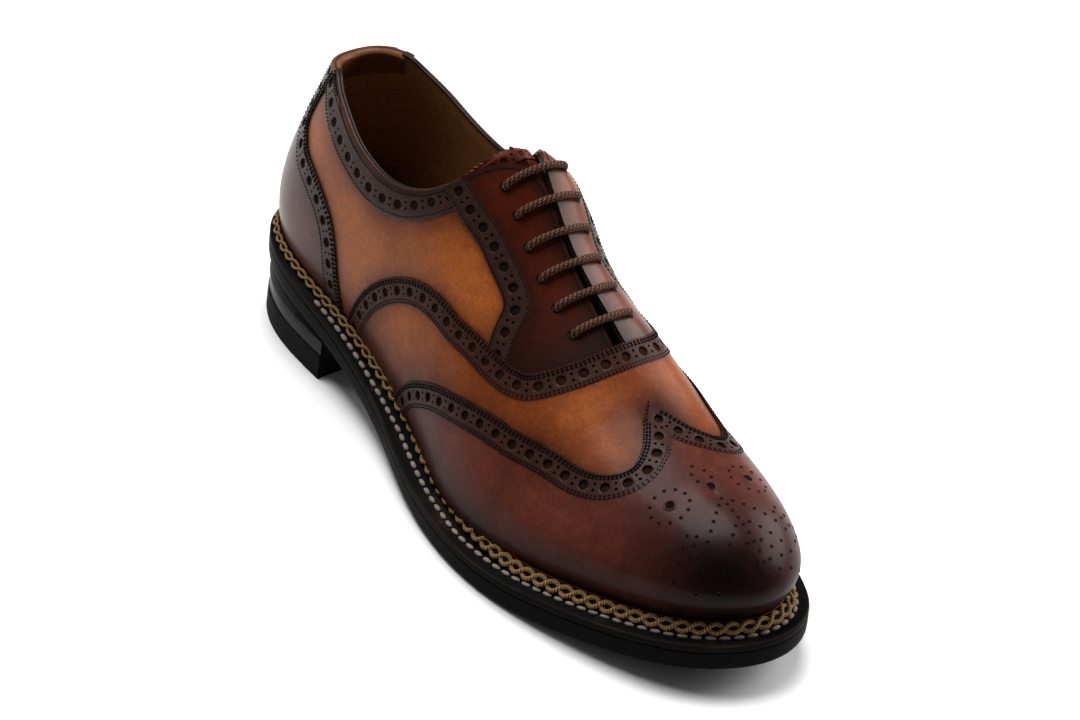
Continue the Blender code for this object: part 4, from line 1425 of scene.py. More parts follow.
@dataclass
class Medallion:
    """The punched ornament on the toe, drawn in plan on both sides of its axis."""

    axis: float = 6.4
    pinhole: float = 0.62
    hole: float = 1.7
    eye: Pair = (258.0, 16.6)
    ring: tuple[float, int] = (6.8, 11)
    top: float = 246.9
    crown: Rows = ((250.6, 2.7), (254.7, 2.9))
    stem: tuple[float, float, int] = (265.2, 3.35, 11)
    arms: tuple[tuple[float, int], ...] = ((265.2, 8), (275.5, 7), (282.8, 5), (289.0, 3))
    arm_step: Pair = (2.6, 2.9)
    tails: tuple[Rows, ...] = (((271.8, 18.7), (278.8, 27.4)), ((274.3, 16.4), (279.9, 23.5)))
    lip: Rows = ((1.04, 0.05), (1.16, 0.06), (1.45, -0.20))

    def holes(self) -> list[Pair]:
        """Return the large holes, as plan distance along the shoe and off the axis."""
        x, off = self.eye
        return [(x + 0.4, 0.0), (x, off), (x, -off)]

    def pinholes(self) -> list[Pair]:
        """Return the pinholes: crown, stem, rings round the outer holes, and branching rows."""
        start, step, count = self.stem
        radius, number = self.ring
        x, off = self.eye
        ahead, out = self.arm_step
        half = list(self.crown)
        for turn in np.arange(number) * 2 * np.pi / number:
            half.append((x + radius * math.cos(turn), off + radius * math.sin(turn)))
        for root, dots in self.arms:
            half += [(root + ahead * k, out * k) for k in range(1, dots + 1)]
        for ends in self.tails:
            half += [tuple(place) for place in np.linspace(*ends, 4)]
        spots = [(self.top, 0.0)] + [(start + step * k, 0.0) for k in range(count)]
        return spots + [(x, side * off) for side in (-1, 1) for x, off in half]

    def cup(self, radius: float, segments: int) -> bpy.types.Mesh:
        """Return one hole: a soft lip round a dark disc, marked as a pit, which sits on the leather as
        painted shade for the hole.
        """
        bm = bmesh.new()
        pit = bm.verts.layers.float.new("pit")
        bmesh.ops.create_circle(bm, segments=segments, radius=radius * MM, cap_ends=True)
        for vert in bm.verts:
            vert[pit] = 1.0
        ring = list(bm.edges)
        for wide, level in self.lip:
            verts, ring = extruded(bm, ring)
            for vert in verts:
                away = vert.co.xy.normalized() * radius * wide * MM
                vert.co = (away.x, away.y, level * MM)
                vert[pit] = 0.0
        bmesh.ops.translate(bm, vec=(0, 0, (0.03 + 0.11 * radius) * MM), verts=bm.verts)
        face_out(bm)
        face_up(bm)
        return as_mesh(bm, "cup")

    def build(self, leather: BVHTree, patinas_and_shades: Sequence[PatinaAndShade], base: float) -> None:
        """Set the ornament's holes on the wing: dark discs of painted shade, each in a soft lip.

        Args:
            leather: The wing's surface, to set the holes on.
            patinas_and_shades: The wing's burnished patina and painted shade.
            base: The wing's darkness away from its darkening lines.
        """
        bm = bmesh.new()
        for radius, segments, spots in ((self.hole, 18, self.holes()), (self.pinhole, 10, self.pinholes())):
            mesh = self.cup(radius, segments)
            for x, off in spots:
                above = Vector(placed(np.array((x, self.axis + off, 200.0))))
                place, normal = leather.ray_cast(above, Vector((0, 0, -1)))[:2]
                if place is not None:
                    stamp(bm, mesh, facing(place, normal))
            bpy.data.meshes.remove(mesh)
        dress(bm, "medallion", PUNCHED, ["wing_cap"], patina_and_shade_mark(bm, patinas_and_shades, base))


@dataclass
class Wing:
    """The wing cap: its leather, the two arms of its punched band, its ornament and stitching."""

    pattern: Pattern
    lift: float = 2.25
    band_rise: float = 0.16
    base: float = 0.05
    first: float = 3.8
    toe_end: Rows = ((11.1, 1.2), (11.1, -0.1), (4.2, -0.1))
    # Centre of a spot where the toe darkens to near black.
    dark_spot: Triple = (287.0, -9.0, 44.0)

    def build(self) -> None:
        """Make the wing's pieces."""
        seams = self.pattern.wings
        outline = seams[0].beside(-UNDERLAP, PEAK) + list(self.toe_end)
        bm = Panel((self.first, LAST.count - self.first), 440, 84, self.lift, outline,
                   creases=WING_CREASES).build()
        patinas_and_shades = burns_along(seams, 7, 0.4, 1.0)
        # The wing darkens strongly at its foot, burnished patina with painted shade where the wall turns
        # under, and to near black round the toe's spot.
        patinas_and_shades += [PatinaAndShade(self.pattern.feather, 14, 0.95), PatinaAndShade(np.array([self.dark_spot]), 33, 1.0)]
        leather = BVHTree.FromBMesh(bm)
        dress(bm, "wing_leather", WING, ["wing_cap"], patina_and_shade_mark(bm, patinas_and_shades, self.base))
        Medallion().build(leather, patinas_and_shades, self.base)
        sewn = bmesh.new()
        level = self.lift + self.band_rise
        for name, seam in zip(SIDES, seams):
            bm = Broguing(wide=0.0, tooth=1.0, depth=1.0).lay(seam, level, np.ones_like, seam.crossing(1.0))
            dress(bm, f"wing_band_{name}", WING, ["wing_cap"], even(bm, 0.6))
            BOLD_SEWING.sew(sewn, seam, BOLD_ROWS, level, below_ridge)
            FINE_SEWING.sew(sewn, seam, FINE_ROWS, level, below_ridge)
        dress(sewn, "wing_stitching", SEWING, sharp=ROUND)


@dataclass
class Vamp:
    """The vamp between the wing and the facings, with its punched band."""

    pattern: Pattern
    lift: float = 1.7
    band_rise: float = 0.3
    first: float = 2.9
    ridge_end: Rows = ((6.5, 1.2), (6.9, 1.2))
    foot_end: Rows = ((3.93, -0.1), (3.15, -0.1))

    def build(self) -> None:
        """Make the vamp's pieces."""
        wings, seam = self.pattern.wings, self.pattern.vamp
        outline = (seam.beside(-UNDERLAP) + list(self.ridge_end)
                   + wings[0].beside(UNDERLAP, PEAK)[::-1] + list(self.foot_end))
        bm = Panel((self.first, LAST.count - self.first), 420, 72, self.lift, outline,
                   creases=VAMP_CREASES).build()
        patinas_and_shades = burns_along(wings, 13, 0.9, 1.0) + burns_along([seam], 6.5, 0.75)
        # The vamp darkens strongly at its foot: burnished patina, with painted shade where the wall turns
        # under to the welt.
        patinas_and_shades += [PatinaAndShade(self.pattern.feather, 20, 0.98)]
        dress(bm, "vamp_leather", VAMP, ["vamp"], patina_and_shade_mark(bm, patinas_and_shades))
        level = self.lift + self.band_rise
        bm = Broguing(wide=0.0, tooth=1.0).lay(seam, level, anchor=seam.crossing(1.0))
        dress(bm, "vamp_band", VAMP, ["vamp"], even(bm, 0.8))
        sewn = bmesh.new()
        BOLD_SEWING.sew(sewn, seam, BOLD_ROWS, level)
        FINE_SEWING.sew(sewn, seam, FINE_ROWS, level)
        dress(sewn, "vamp_stitching", SEWING, sharp=ROUND)


@dataclass
class Eyelets:
    """The six pairs of punched lace holes."""

    first: float = 4.27
    pitch: float = 0.326
    pairs: int = 6
    rise: float = 0.868
    radius: float = 2.0
    # Depth of the discs of painted shade in the holes.
    floor: float = 1.06

    def station(self, pair: int, inner: bool) -> float:
        """Return an eyelet's station; pair 1 is the lowest."""
        station = self.first + self.pitch * (self.pairs - pair)
        return LAST.count - station if inner else station

    def spots(self, inner: bool, lift: float) -> list[tuple[Array, Array]]:
        """Return the place in the frame and the outward direction of one side's holes, at a height."""
        station = np.array([self.station(pair, inner) for pair in range(1, self.pairs + 1)])
        rise = np.full(self.pairs, self.rise)
        return list(zip(placed(LAST.lifted(station, rise, lift)), LAST.normal(station, rise)))

    def punch(self, bm: BMesh, lift: float, depth: float, inner: bool) -> None:
        """Punch one side's holes through a panel.

        Args:
            bm: The panel, in the frame.
            lift: The panel's height above the last.
            depth: How far the hole's wall goes in.
            inner: Whether the panel is on the inner side.
        """
        reach = self.radius * MM
        for middle, normal in self.spots(inner, lift):
            waste = [face for face in bm.faces
                     if (face.calc_center_median() - Vector(middle)).length < reach]
            bmesh.ops.delete(bm, geom=waste, context="FACES")
            rim = border(bm, lambda vert: (vert.co - Vector(middle)).length < 1.9 * reach)
            for vert in {vert for edge in rim for vert in edge.verts}:
                away = np.array(vert.co) - middle
                vert.co = middle + unit(away - normal * (away @ normal)) * reach
            for vert in extruded(bm, rim)[0]:
                vert.co -= Vector(normal * depth * MM)

    def floors(self) -> None:
        """Make near-black discs at the bottom of the holes: painted shade inside them."""
        bm = bmesh.new()
        for place, normal in self.spots(False, self.floor) + self.spots(True, self.floor):
            bmesh.ops.create_circle(bm, segments=20, radius=1.12 * self.radius * MM, cap_ends=True,
                                    matrix=facing(place, normal))
        dress(bm, "eyelet_shade_discs", PIPING, ["facing_lateral", "facing_medial"], even(bm, 1.0))


@dataclass
class Facings:
    """The two lace facings with their punched bands."""

    pattern: Pattern
    eyelets: Eyelets
    upper: Upper
    lift: float = 1.7
    band_rise: float = 0.12
    span: Pair = (3.6, 6.38)
    bottom: float = 0.55
    wall: float = 0.9
    turned: float = 1.1

    def outline(self) -> list[Pair]:
        """Return the outline of the facing's leather, under its band and under the vamp."""
        low = [(station, rise) for station, rise in self.pattern.vamp.beside(UNDERLAP) if station > 5.45]
        return self.pattern.facings[0].beside(UNDERLAP) + low + [(6.5, 1.1), (3.6, 1.1)]

    def build(self) -> None:
        """Make the facings on both sides."""
        sewn = bmesh.new()
        level = self.lift + self.band_rise
        nodes = ("facing_lateral", "facing_medial")
        ends = (self.span, tuple(LAST.count - end for end in reversed(self.span)))
        for name, node, stations, seam, throat in zip(SIDES, nodes, ends, self.pattern.facings,
                                                      self.pattern.throats):
            inner = name == "inner"
            bm = Panel(stations, 132, 56, self.lift, self.outline(), LAST.collar_rise, self.bottom).build()
            self.turn_edge(bm)
            self.eyelets.punch(bm, self.lift, self.wall, inner)
            patinas_and_shades = burns_along([seam], 8, 0.7) + burns_along([throat], 4.5, 0.8)
            patinas_and_shades += burns_along([self.pattern.vamp], 17, 0.9)
            patinas_and_shades += burns_along([self.pattern.topline], 4, 0.6)
            # The inner facing gets the lighter copy of the facing leather: painted light on the lit side.
            dress(bm, f"facing_leather_{name}", FACING_PAINTED_LIT if inner else FACING, [node], patina_and_shade_mark(bm, patinas_and_shades))
            bm = Broguing(edge=Edge.PLAIN, edge_at=4.7).lay(seam, level, self.upper.below_topline)
            dress(bm, f"facing_band_{name}", FACING, [node], even(bm, 0.85))
            FINE_SEWING.sew(sewn, seam, (-4.15, 4.15), level, under_topline(self.upper.trim))
            FINE_SEWING.sew(sewn, throat, [1.6 if inner else -1.6], self.lift)
        dress(sewn, "facing_stitching", SEWING, sharp=ROUND)
        self.eyelets.floors()

    def turn_edge(self, bm: BMesh) -> None:
        """Turn the facing's free edges down onto the quarters."""
        moved = extruded(bm, border(bm))[0]
        bm.normal_update()
        for vert in moved:
            faces = [face for edge in vert.link_edges for other in edge.verts if other is not vert
                     for face in other.link_faces if vert not in face.verts]
            if faces:
                normal = sum((face.normal for face in faces), Vector()).normalized()
                vert.co -= normal * self.turned * MM


@dataclass
class Counter:
    """The heel counter with its punched band, and its strap folded over the topline."""

    pattern: Pattern
    strap: float
    lift: float = 1.7
    band_rise: float = 0.14
    inside: float = -2.3
    fold: float = 12.0
    trim: float = 0.008
    turns: int = 8
    inner_rows: int = 10
    span: Pair = (-2.9, 2.9)
    back: Rows = ((2.65, -0.1), (-0.1, -0.1), (-0.1, 1.1), (1.1, 1.1))

    def build(self) -> None:
        """Make the counter's pieces."""
        seams = self.pattern.counters
        outline = seams[0].beside(-UNDERLAP) + list(self.back)
        bm = Panel(self.span, 240, 64, self.lift, outline, LAST.collar_rise).build()
        # The counter darkens along its bands as burnished patina, and at its foot with painted shade as
        # well.
        patinas_and_shades = burns_along(seams, 8, 0.7) + [PatinaAndShade(self.pattern.feather, 6, 0.5)]
        dress(bm, "counter_leather", COUNTER, ["heel_counter"], patina_and_shade_mark(bm, patinas_and_shades, 0.1))
        sewn = bmesh.new()
        level = self.lift + self.band_rise
        for name, seam in zip(SIDES, seams):
            bm = Broguing(tooth=0.8, edge_at=5.0).lay(seam, level, LAST.collar_rise)
            dress(bm, f"counter_band_{name}", COUNTER, ["heel_counter"], even(bm, 0.8))
            BOLD_SEWING.sew(sewn, seam, (3.2, 4.2), level, under_topline(self.trim))
            FINE_SEWING.sew(sewn, seam, [-4.1], level, under_topline(self.trim))
        dress(sewn, "counter_stitching", SEWING, sharp=ROUND)
        self.strap_end()

    def strap_end(self) -> None:
        """Make the strap's end, which folds over the topline to the inside."""
        total = self.turns + self.inner_rows

        def shape(a: Array, b: Array) -> Array:
            """Place rows over the topline, then down the inside."""
            across = 2 * a - 1
            station = across * self.strap
            row = b * total
            turn = np.clip(row / self.turns, 0, 1) * np.pi
            outer = self.lift + self.band_rise + 0.15
            lift = (outer + self.inside) / 2 + (outer - self.inside) / 2 * np.cos(turn)
            reach = self.fold * (1 - 0.3 * np.abs(across) ** 4)
            down = np.clip(row - self.turns, 0, None) / self.inner_rows * reach
            rise = LAST.collar_rise(station) - 0.012 + (1.5 * np.sin(turn) - down) / RISE_MM
            return LAST.lifted(station, rise, lift)

        bm = grid(64, total, shape)
        dress(bm, "back_strap_end", STRAP, ["heel_counter"], even(bm, 0.3))


class TongueSkin(Skin):
    """The tongue's face: across from -1 to 1, and up from 0 to 1."""

    step = (0.02, 0.01)
    lowest, highest, droop = 6.35, 3.86, 0.3
    sunk, shallow, covered = 6.3, 0.8, 3.2
    spread = ((3.6, 0.37), (3.9, 0.36), (4.4, 0.24), (6.35, 0.16))
    steady = 4.2

    def point(self, p: Array, q: Array) -> Array:
        """Return points of the tongue's face, from both sides of the last and eased between them."""
        w, b = np.broadcast_arrays(np.asarray(p, float), np.asarray(q, float))
        station = self.lowest + (self.highest - self.droop * w ** 2 - self.lowest) * b
        rise = 1 - np.abs(w) * read(self.spread, station)
        sinking = ease(np.clip((station - 3.95) / 0.4, 0, 1))
        depth = self.shallow + (self.sunk - self.shallow) * sinking
        clear = (rise - LAST.collar_rise(station)) * 90
        free = ease(np.clip((clear + 3) / 11, 0, 1))
        depth = np.maximum(depth, self.covered + (self.shallow - self.covered) * free)[..., None]
        share = ease(np.clip(w / 0.6 + 0.5, 0, 1))[..., None]
        steady = np.maximum(station, self.steady)
        outer = LAST.point(station, rise) - LAST.normal(steady, rise) * depth
        inner = LAST.point(LAST.count - station, rise) - LAST.normal(LAST.count - steady, rise) * depth
        return outer * (1 - share) + inner * share


@dataclass
class Tongue:
    """The tongue with its gimped top edge."""

    leather: float = 1.8
    columns: int = 76
    rows: int = 72
    tooth: float = 0.011
    band_at: float = 0.945
    band_end: float = 0.97
    band_lift: float = 0.6

    def build(self) -> None:
        """Make the tongue's pieces."""
        skin = TongueSkin()
        total = 2 * self.rows + 1

        def shape(a: Array, b: Array) -> Array:
            """Place the face up to the toothed top edge, then the back down again."""
            row = np.rint(b * total)
            back = row > self.rows
            up = np.where(back, total - row, row) / self.rows
            cut = (row_of(a, self.columns + 1) % 2 == 1) & (up > 0.999)
            return skin.lifted(2 * a - 1, up - np.where(cut, self.tooth, 0),
                               np.where(back, -self.leather, 0.0))

        bm = grid(self.columns, total, shape)
        face_out(bm)
        # The tongue darkens along the last's ridge in the throat: painted shade in the gap between the
        # facings.
        inner = LAST.wall(np.linspace(4.3, 6.2, 60), np.ones(60))
        dress(bm, "tongue_leather", TONGUE, ["tongue"], patina_and_shade_mark(bm, [PatinaAndShade(inner, 6, 0.5)], 0.15))
        seam = Seam(skin, [(w, self.band_at) for w in np.linspace(-self.band_end, self.band_end, 17)])
        band = Broguing(edge=Edge.PLAIN, pitch=7.0, hole=1.35, cell=3.9, width=4.0, margin=2.2,
                        edge_at=2.3, inner_at=2.2, depth=0.5)
        bm = band.lay(seam, self.band_lift)
        dress(bm, "tongue_band", TONGUE, ["tongue"], even(bm, 0.15))


@dataclass
class Lace:
    """One lace in straight bars, its ends hidden under the upper eyelets."""

    eyelets: Eyelets
    radius: float = 1.4
    bar: float = 3.45
    run: float = -4.1
    lane: float = 0.047

    def end(self, pair: int, inner: bool, flow: float) -> list[Array]:
        """Return points from the hidden run up through an eyelet to its bar."""
        station = self.eyelets.station(pair, inner)
        flow = -flow if inner else flow
        rows = [(2.6 * flow, 0.0, self.run), (1.0 * flow, 0.0, self.run + 0.6),
                (0.1 * flow, 0.0, self.run + 2.2), (0.0, 0.1, 1.2), (0.0, 1.0, self.bar - 0.7),
                (0.0, 2.6, self.bar)]
        per_station, per_rise = 11.0 / self.eyelets.pitch, 95.0
        return [LAST.lifted(station + along / per_station, self.eyelets.rise + up / per_rise, height)
                for along, up, height in rows]

    def over(self, pair: int, inner: bool) -> list[Array]:
        """Return the middle points of a bar that starts on the given side."""
        rises = ((inner, 0.94), (inner, 0.985), (not inner, 0.985), (not inner, 0.94))
        return [LAST.lifted(self.eyelets.station(pair, side), rise, self.bar) for side, rise in rises]

    def under(self, start: int, end: int, inner: bool, lane: int) -> list[Array]:
        """Return hidden points between two eyelets of one side."""
        first, last = self.eyelets.station(start, inner), self.eyelets.station(end, inner)
        shares = (0.5,) if lane == 0 else (0.25, 0.5, 0.75)
        return [LAST.lifted(first + (last - first) * share,
                            self.eyelets.rise + lane * self.lane * (1 if share == 0.5 else 0.55),
                            self.run) for share in shares]

    def route(self) -> Array:
        """Return the lace's points from end to end."""
        bars = ((5, True), (3, False), (1, True), (2, False), (4, True), (6, False))
        runs = ((5, 3, False, -1), (3, 1, True, -1), (1, 2, False, 0), (2, 4, True, 1),
                (4, 6, False, 1))
        points: list[Array] = []
        for order, (pair, inner) in enumerate(bars):
            came = -1.0 if order == 0 or pair < bars[order - 1][0] else 1.0
            goes = 1.0
            if order < len(runs):
                goes = 1.0 if bars[order + 1][0] < pair else -1.0
            leave = self.end(pair, not inner, goes)[::-1]
            if order == len(bars) - 1:
                leave = leave[:4]
            points += self.end(pair, inner, came) + self.over(pair, inner) + leave
            if order < len(runs):
                points += self.under(*runs[order])
        return np.array(points)

    def build(self) -> None:
        """Make the lace."""
        knots = self.route()
        along = running(knots, 0.5)
        path = cubic(along, knots)(np.linspace(0, along[-1], 1500))
        measure = running(path)
        places = np.linspace(0, measure[-1], int(measure[-1] / 0.35))
        path = np.stack([np.interp(places, measure, axis) for axis in path.T], -1)
        LOG.info("lace length %.0f mm", measure[-1])
        dress(tube(path, self.radius, 16), "lace_braid", LACE, ["lace"], sharp=ROUND)


@dataclass
class Chain:
    """The chain braid on the welt's sloping rib, with its pads, its strip and the welt stitches."""

    inset: float = 7.0
    clear: float = 2.3
    height: float = 3.1
    slope: float = 45.0
    reach: float = 1.75
    strand: float = 0.86
    over: float = 0.38
    eyes: int = 116
    steps: int = 16
    pad: Triple = (2.8, 1.9, 1.2)
    pad_lift: float = -0.45
    stitch: float = 4.9
    stitch_size: Triple = (4.1, 1.9, 1.5)
    stitch_lift: float = 0.3
    unsewn: float = 2.6
    waist_clear: Rows = ((4.2, 1.9), (5.8, 0.0))
    inner_clear: Rows = ((14.4, 0.0), (15.2, 1.5), (16.4, 1.5), (17.2, 0.0))
    overhang: Rows = ((2.5, 0.0), (3.3, 1.2), (4.4, 2.3), (6.3, 2.3), (7.4, 0.0))
    slimmer: Rows = ((1.0, 0.55), (3.0, 0.66), (5.4, 1.0))
    rib: Rows = ((-3.4, -1.0), (-2.2, -0.9), (0.0, -0.85), (2.3, -0.8), (3.3, -0.6), (3.9, -0.9))
    lip: Triple = (2.75, -0.35, 0.42)

    def middle(self, station: Array) -> Array:
        """Return how far the chain's middle is set in from the sole outline."""
        clear = self.clear + read(self.waist_clear, LAST.half(station))
        clear += read(self.inner_clear, np.mod(station, LAST.count))
        return np.clip(LAST.welt(station) - clear, 2.2, self.inset)

    def narrow(self, station: Array) -> Array:
        """Return how much slimmer the chain is towards the heel."""
        return read(self.slimmer, LAST.half(station))

    def sewn_at(self, station: Array) -> Array:
        """Return how far the stitches are set in from the sole outline."""
        return np.maximum(self.middle(station) - 2.1, 1.6)

    def spot(self, station: Array, across: Array | float, lift: Array | float) -> Array:
        """Return points beside the chain's middle line: up its slope, and off it."""
        lean = math.radians(self.slope)
        inset = self.middle(station) + read(self.overhang, np.mod(station, LAST.count))
        inset = inset + across * math.cos(lean) - lift * math.sin(lean)
        height = self.height * self.narrow(station) + across * math.sin(lean) + lift * math.cos(lean)
        return LAST.seat(station, inset, height)

    def spaced(self, shares: Array) -> Array:
        """Return stations at shares of the chain's whole length."""
        station = np.linspace(0, LAST.count, 4001)
        measure = running(self.spot(station, 0.0, 0.0))
        return np.interp(shares * measure[-1], measure, station)

    def strands(self) -> None:
        """Make the two strands that cross between the eyes."""
        share = np.linspace(0, 1, self.eyes * self.steps + 1)
        station = self.spaced(share)
        slim = self.narrow(station)
        phase = np.pi * self.eyes * share
        wave = np.sin(phase)
        swing = np.sign(wave) * np.abs(wave) ** 0.8 * self.reach * slim
        for name, sign in (("first", 1.0), ("second", -1.0)):
            path = self.spot(station, swing * sign, self.over * np.cos(phase) * sign)
            path[-1] = path[0]
            bm = tube(path, self.strand * slim, 8, closed=True)
            dress(bm, f"chain_braid_{name}", BRAID, ["welt_braid"], sharp=ROUND)

    def pads(self) -> None:
        """Make the pads in the chain's eyes."""
        bm = bmesh.new()
        shares = (np.arange(self.eyes) + 0.5) / self.eyes
        tails, middles, heads = (self.spot(self.spaced(shares + step), 0.0, self.pad_lift)
                                 for step in (-0.001, 0.0, 0.001))
        above = self.spot(self.spaced(shares), 0.0, self.pad_lift + 1)
        for tail, middle, head, high in zip(tails, middles, heads, above):
            bead(bm, middle, unit(head - tail), unit(high - middle), self.pad, 2)
        dress(bm, "chain_pads", WELT, ["welt_braid"], sharp=ROUND)

    def strip(self) -> None:
        """Make the dark strip under the chain and the red lip along its top."""
        rows = np.array(self.rib)
        bm = grid(500, len(rows) - 1,
                  lambda a, b: self.spot(a * LAST.count, *rows[row_of(b, len(rows))].T))
        weld(bm)
        face_up(bm)
        dress(bm, "welt_rib", WELT, ["welt_braid"], sharp=ROUND)
        across, lift, radius = self.lip
        path = self.spot(np.linspace(0, LAST.count, 601), across, lift)
        path[-1] = path[0]
        bm = tube(path, radius, 8, closed=True)
        dress(bm, "welt_rib_lip", FACING, ["welt_braid"], even(bm, 0.15), sharp=ROUND)

    def stitches(self) -> None:
        """Make the row of pale stitches through the welt."""
        bm = bmesh.new()
        fine = np.linspace(0, LAST.count, 4001)
        measure = running(LAST.seat(fine, self.sewn_at(fine), self.stitch_lift))
        count = int(measure[-1] / self.stitch)
        spots = (np.arange(count) + 0.5) / count * measure[-1]
        ends = []
        for step in (-1.0, 1.0):
            at = np.interp(spots + step, measure, fine)
            at = at[LAST.half(at) > self.unsewn]
            ends.append(LAST.seat(at, self.sewn_at(at), self.stitch_lift))
        for tail, head in zip(*ends):
            bead(bm, (head + tail) / 2, unit(head - tail), np.array((0.0, 0.0, 1.0)), self.stitch_size, 2)
        dress(bm, "welt_stitches", WELT_THREAD, ["welt_braid"], sharp=ROUND)

    def build(self) -> None:
        """Make the chain's pieces."""
        self.strip()
        self.strands()
        self.pads()
        self.stitches()


@dataclass
class Sole:
    """Footbed, welt with its braid and stitches, outsole and heel."""

    chain: Chain
    midsole: float = 3.1
    edge: float = 10.8
    breast: float = 72.0
    hollow: float = 3.0
    columns: int = 600
    bed_inset: float = 2.3
    bed_height: float = 3.5
    bed_dip: float = 0.6
    ribs: int = 600
    rib_depth: float = 0.16
    heel_share: float = 0.8
    lip: Rows = ((1.55, 0.3), (1.3, 0.02), (0.95, 0.0), (0.6, 0.12), (0.32, 0.36), (0.15, 0.7),
                 (0.08, 1.1), (0.06, 1.7), (0.06, 2.4), (0.10, 2.75), (0.22, 2.95), (0.5, 3.05))
    worn: Pair = (0.15, 0.5)
    side: Rows = ((0.5, 3.1), (0.18, 3.2), (0.04, 3.45), (0.0, 3.9), (0.0, 5.6), (0.0, 7.2),
                  (0.05, 8.6), (0.25, 9.5), (0.6, 10.2), (1.1, 10.6), (1.7, 10.8))
    under: tuple[float, ...] = (0.06, 0.2, 0.4, 0.6, 0.8, 1.0)

    def ring(self, profile: Rows, name: str, finish: Finish, node: str,
             under: Sequence[float] = (), worn: Pair | None = None) -> None:
        """Make a layer that runs all round the shoe, and keeps to the tread below the midsole.

        Args:
            profile: Inset and depth below the welt's top, from the inside out and down.
            name: The piece's name.
            finish: Its finish.
            node: The CAD node that it stands for.
            under: Shares of the way to the middle line for rows that close the underside.
            worn: Span of depths where the dressing is rubbed off.
        """
        rows = np.array([(*row, 0.0) for row in profile] + [(*profile[-1], share) for share in under])

        def shape(a: Array, b: Array) -> Array:
            """Place the profile round the outline."""
            station = a * LAST.count
            inset, depth, share = rows[row_of(b, len(rows))].T
            plan = self.towards_middle(station, inset, inset, share)
            top = LAST.welt_top(plan[:, 0])
            tread = np.maximum(top - self.edge, 0.0)
            down = np.clip((depth - self.midsole) / (self.edge - self.midsole), 0, 1)
            return raised(plan, (top - np.minimum(depth, self.midsole)) * (1 - down) + tread * down)

        bm = grid(self.columns, len(rows) - 1, shape)
        weld(bm)
        face_out(bm)
        marks = {}
        if worn is not None:
            points = table_points(bm)
            depth = LAST.welt_top(points[:, 0]) - points[:, 2]
            marks["wear"] = (depth > worn[0]) & (depth < worn[1])
        dress(bm, name, finish, [node], marks, sharp=60)

    def towards_middle(self, station: Array, inset: Array, far_inset: Array, share: Array) -> Array:
        """Return outline points moved by a share of the way to the middle line."""
        half = share[:, None] / 2
        across = LAST.outline(LAST.count - station, far_inset)
        return LAST.outline(station, inset) * (1 - half) + across * half

    def bed_edge(self, station: Array) -> Array:
        """Return how far the footbed's edge is set in from the sole outline."""
        return LAST.welt(station) + self.bed_inset

    def footbed(self) -> None:
        """Make the footbed inside the upper."""
        def shape(a: Array, b: Array) -> Array:
            """Place rows from the upper's lining to the middle line."""
            station = a * LAST.count
            plan = self.towards_middle(station, self.bed_edge(station),
                                       self.bed_edge(LAST.count - station), b)
            dip = self.bed_dip * np.sin(np.pi * b / 2)
            return raised(plan, LAST.welt_top(plan[:, 0]) + self.bed_height - dip)

        bm = grid(240, 14, shape)
        weld(bm)
        face_up(bm)
        # The footbed darkens towards its edge: painted shade in the corner against the lining.
        around = np.linspace(0, LAST.count, 300)
        edge = LAST.seat(around, self.bed_edge(around), self.bed_height)
        dress(bm, "footbed", FOOTBED, ["insole"], patina_and_shade_mark(bm, [PatinaAndShade(edge, 7, 0.7)], 0.1))

    def welt(self) -> None:
        """Make the welt's ribbed margin and its rounded edge."""
        per_rib = 4
        relief = np.array([0.0, 0.0, 0.0, 0.2, 1.0, 1.0, 1.0, 0.7])

        def shape(a: Array, b: Array) -> Array:
            """Place rows from under the upper out to the edge, with wheel marks outside the stitches."""
            station = a * LAST.count
            row = row_of(b, len(relief))
            sewn = self.chain.sewn_at(station)
            insets = [LAST.welt(station) * 1.15, sewn + 2.0, sewn + 0.8, sewn - 0.6]
            insets += [1.15 + (sewn - 1.9) * share for share in (1.0, 0.7, 0.35, 0.0)]
            inset = np.stack(insets, -1)[np.arange(len(a)), row]
            mark = (np.cos(2 * np.pi * a * self.ribs) - 1) * self.rib_depth * relief[row]
            return LAST.seat(station, inset, mark)

        bm = grid(self.ribs * per_rib, len(relief) - 1, shape)
        weld(bm)
        face_up(bm)
        dress(bm, "welt_top", WELT, ["midsole"], sharp=ROUND)
        self.ring(self.lip, "welt_edge", WELT, "midsole", worn=self.worn)

    def heel(self) -> None:
        """Make the heel's three layers."""
        self.layer("heel_seat", "heel_seat_layer", EDGE, (None, 17.0), (1.4, 0.8))
        self.layer("heel_stack", "heel_stack_layer", STACK, (16.7, 10.3), (1.4, 1.0))
        self.layer("heel_top_lift", "heel_lift_layer", RUBBER, (10.0, 0.0), (0.6, 0.2))

    def layer(self, node: str, name: str, finish: Finish, levels: tuple[float | None, float],
              insets: Pair) -> None:
        """Make one layer of the heel.

        Args:
            node: The CAD node that it stands for.
            name: The piece's name.
            finish: Its finish.
            levels: Its top and bottom; a top of None follows the outsole.
            insets: How far its top and bottom edges are set in from the sole outline.
        """
        top, bottom = levels
        high, low = insets
        rows = np.array([(high + 2.2, 0.0), (high + 0.35, 0.0), (high + 0.08, 0.02), (high, 0.06),
                         (low, 0.95), (low + 0.1, 0.985), (low + 0.5, 1.0), (low + 2.5, 1.0)])
        fine = np.linspace(0, 4, 400)
        end = np.interp(self.breast, LAST.outline(fine, np.zeros(400))[:, 0], fine)
        share = self.heel_share

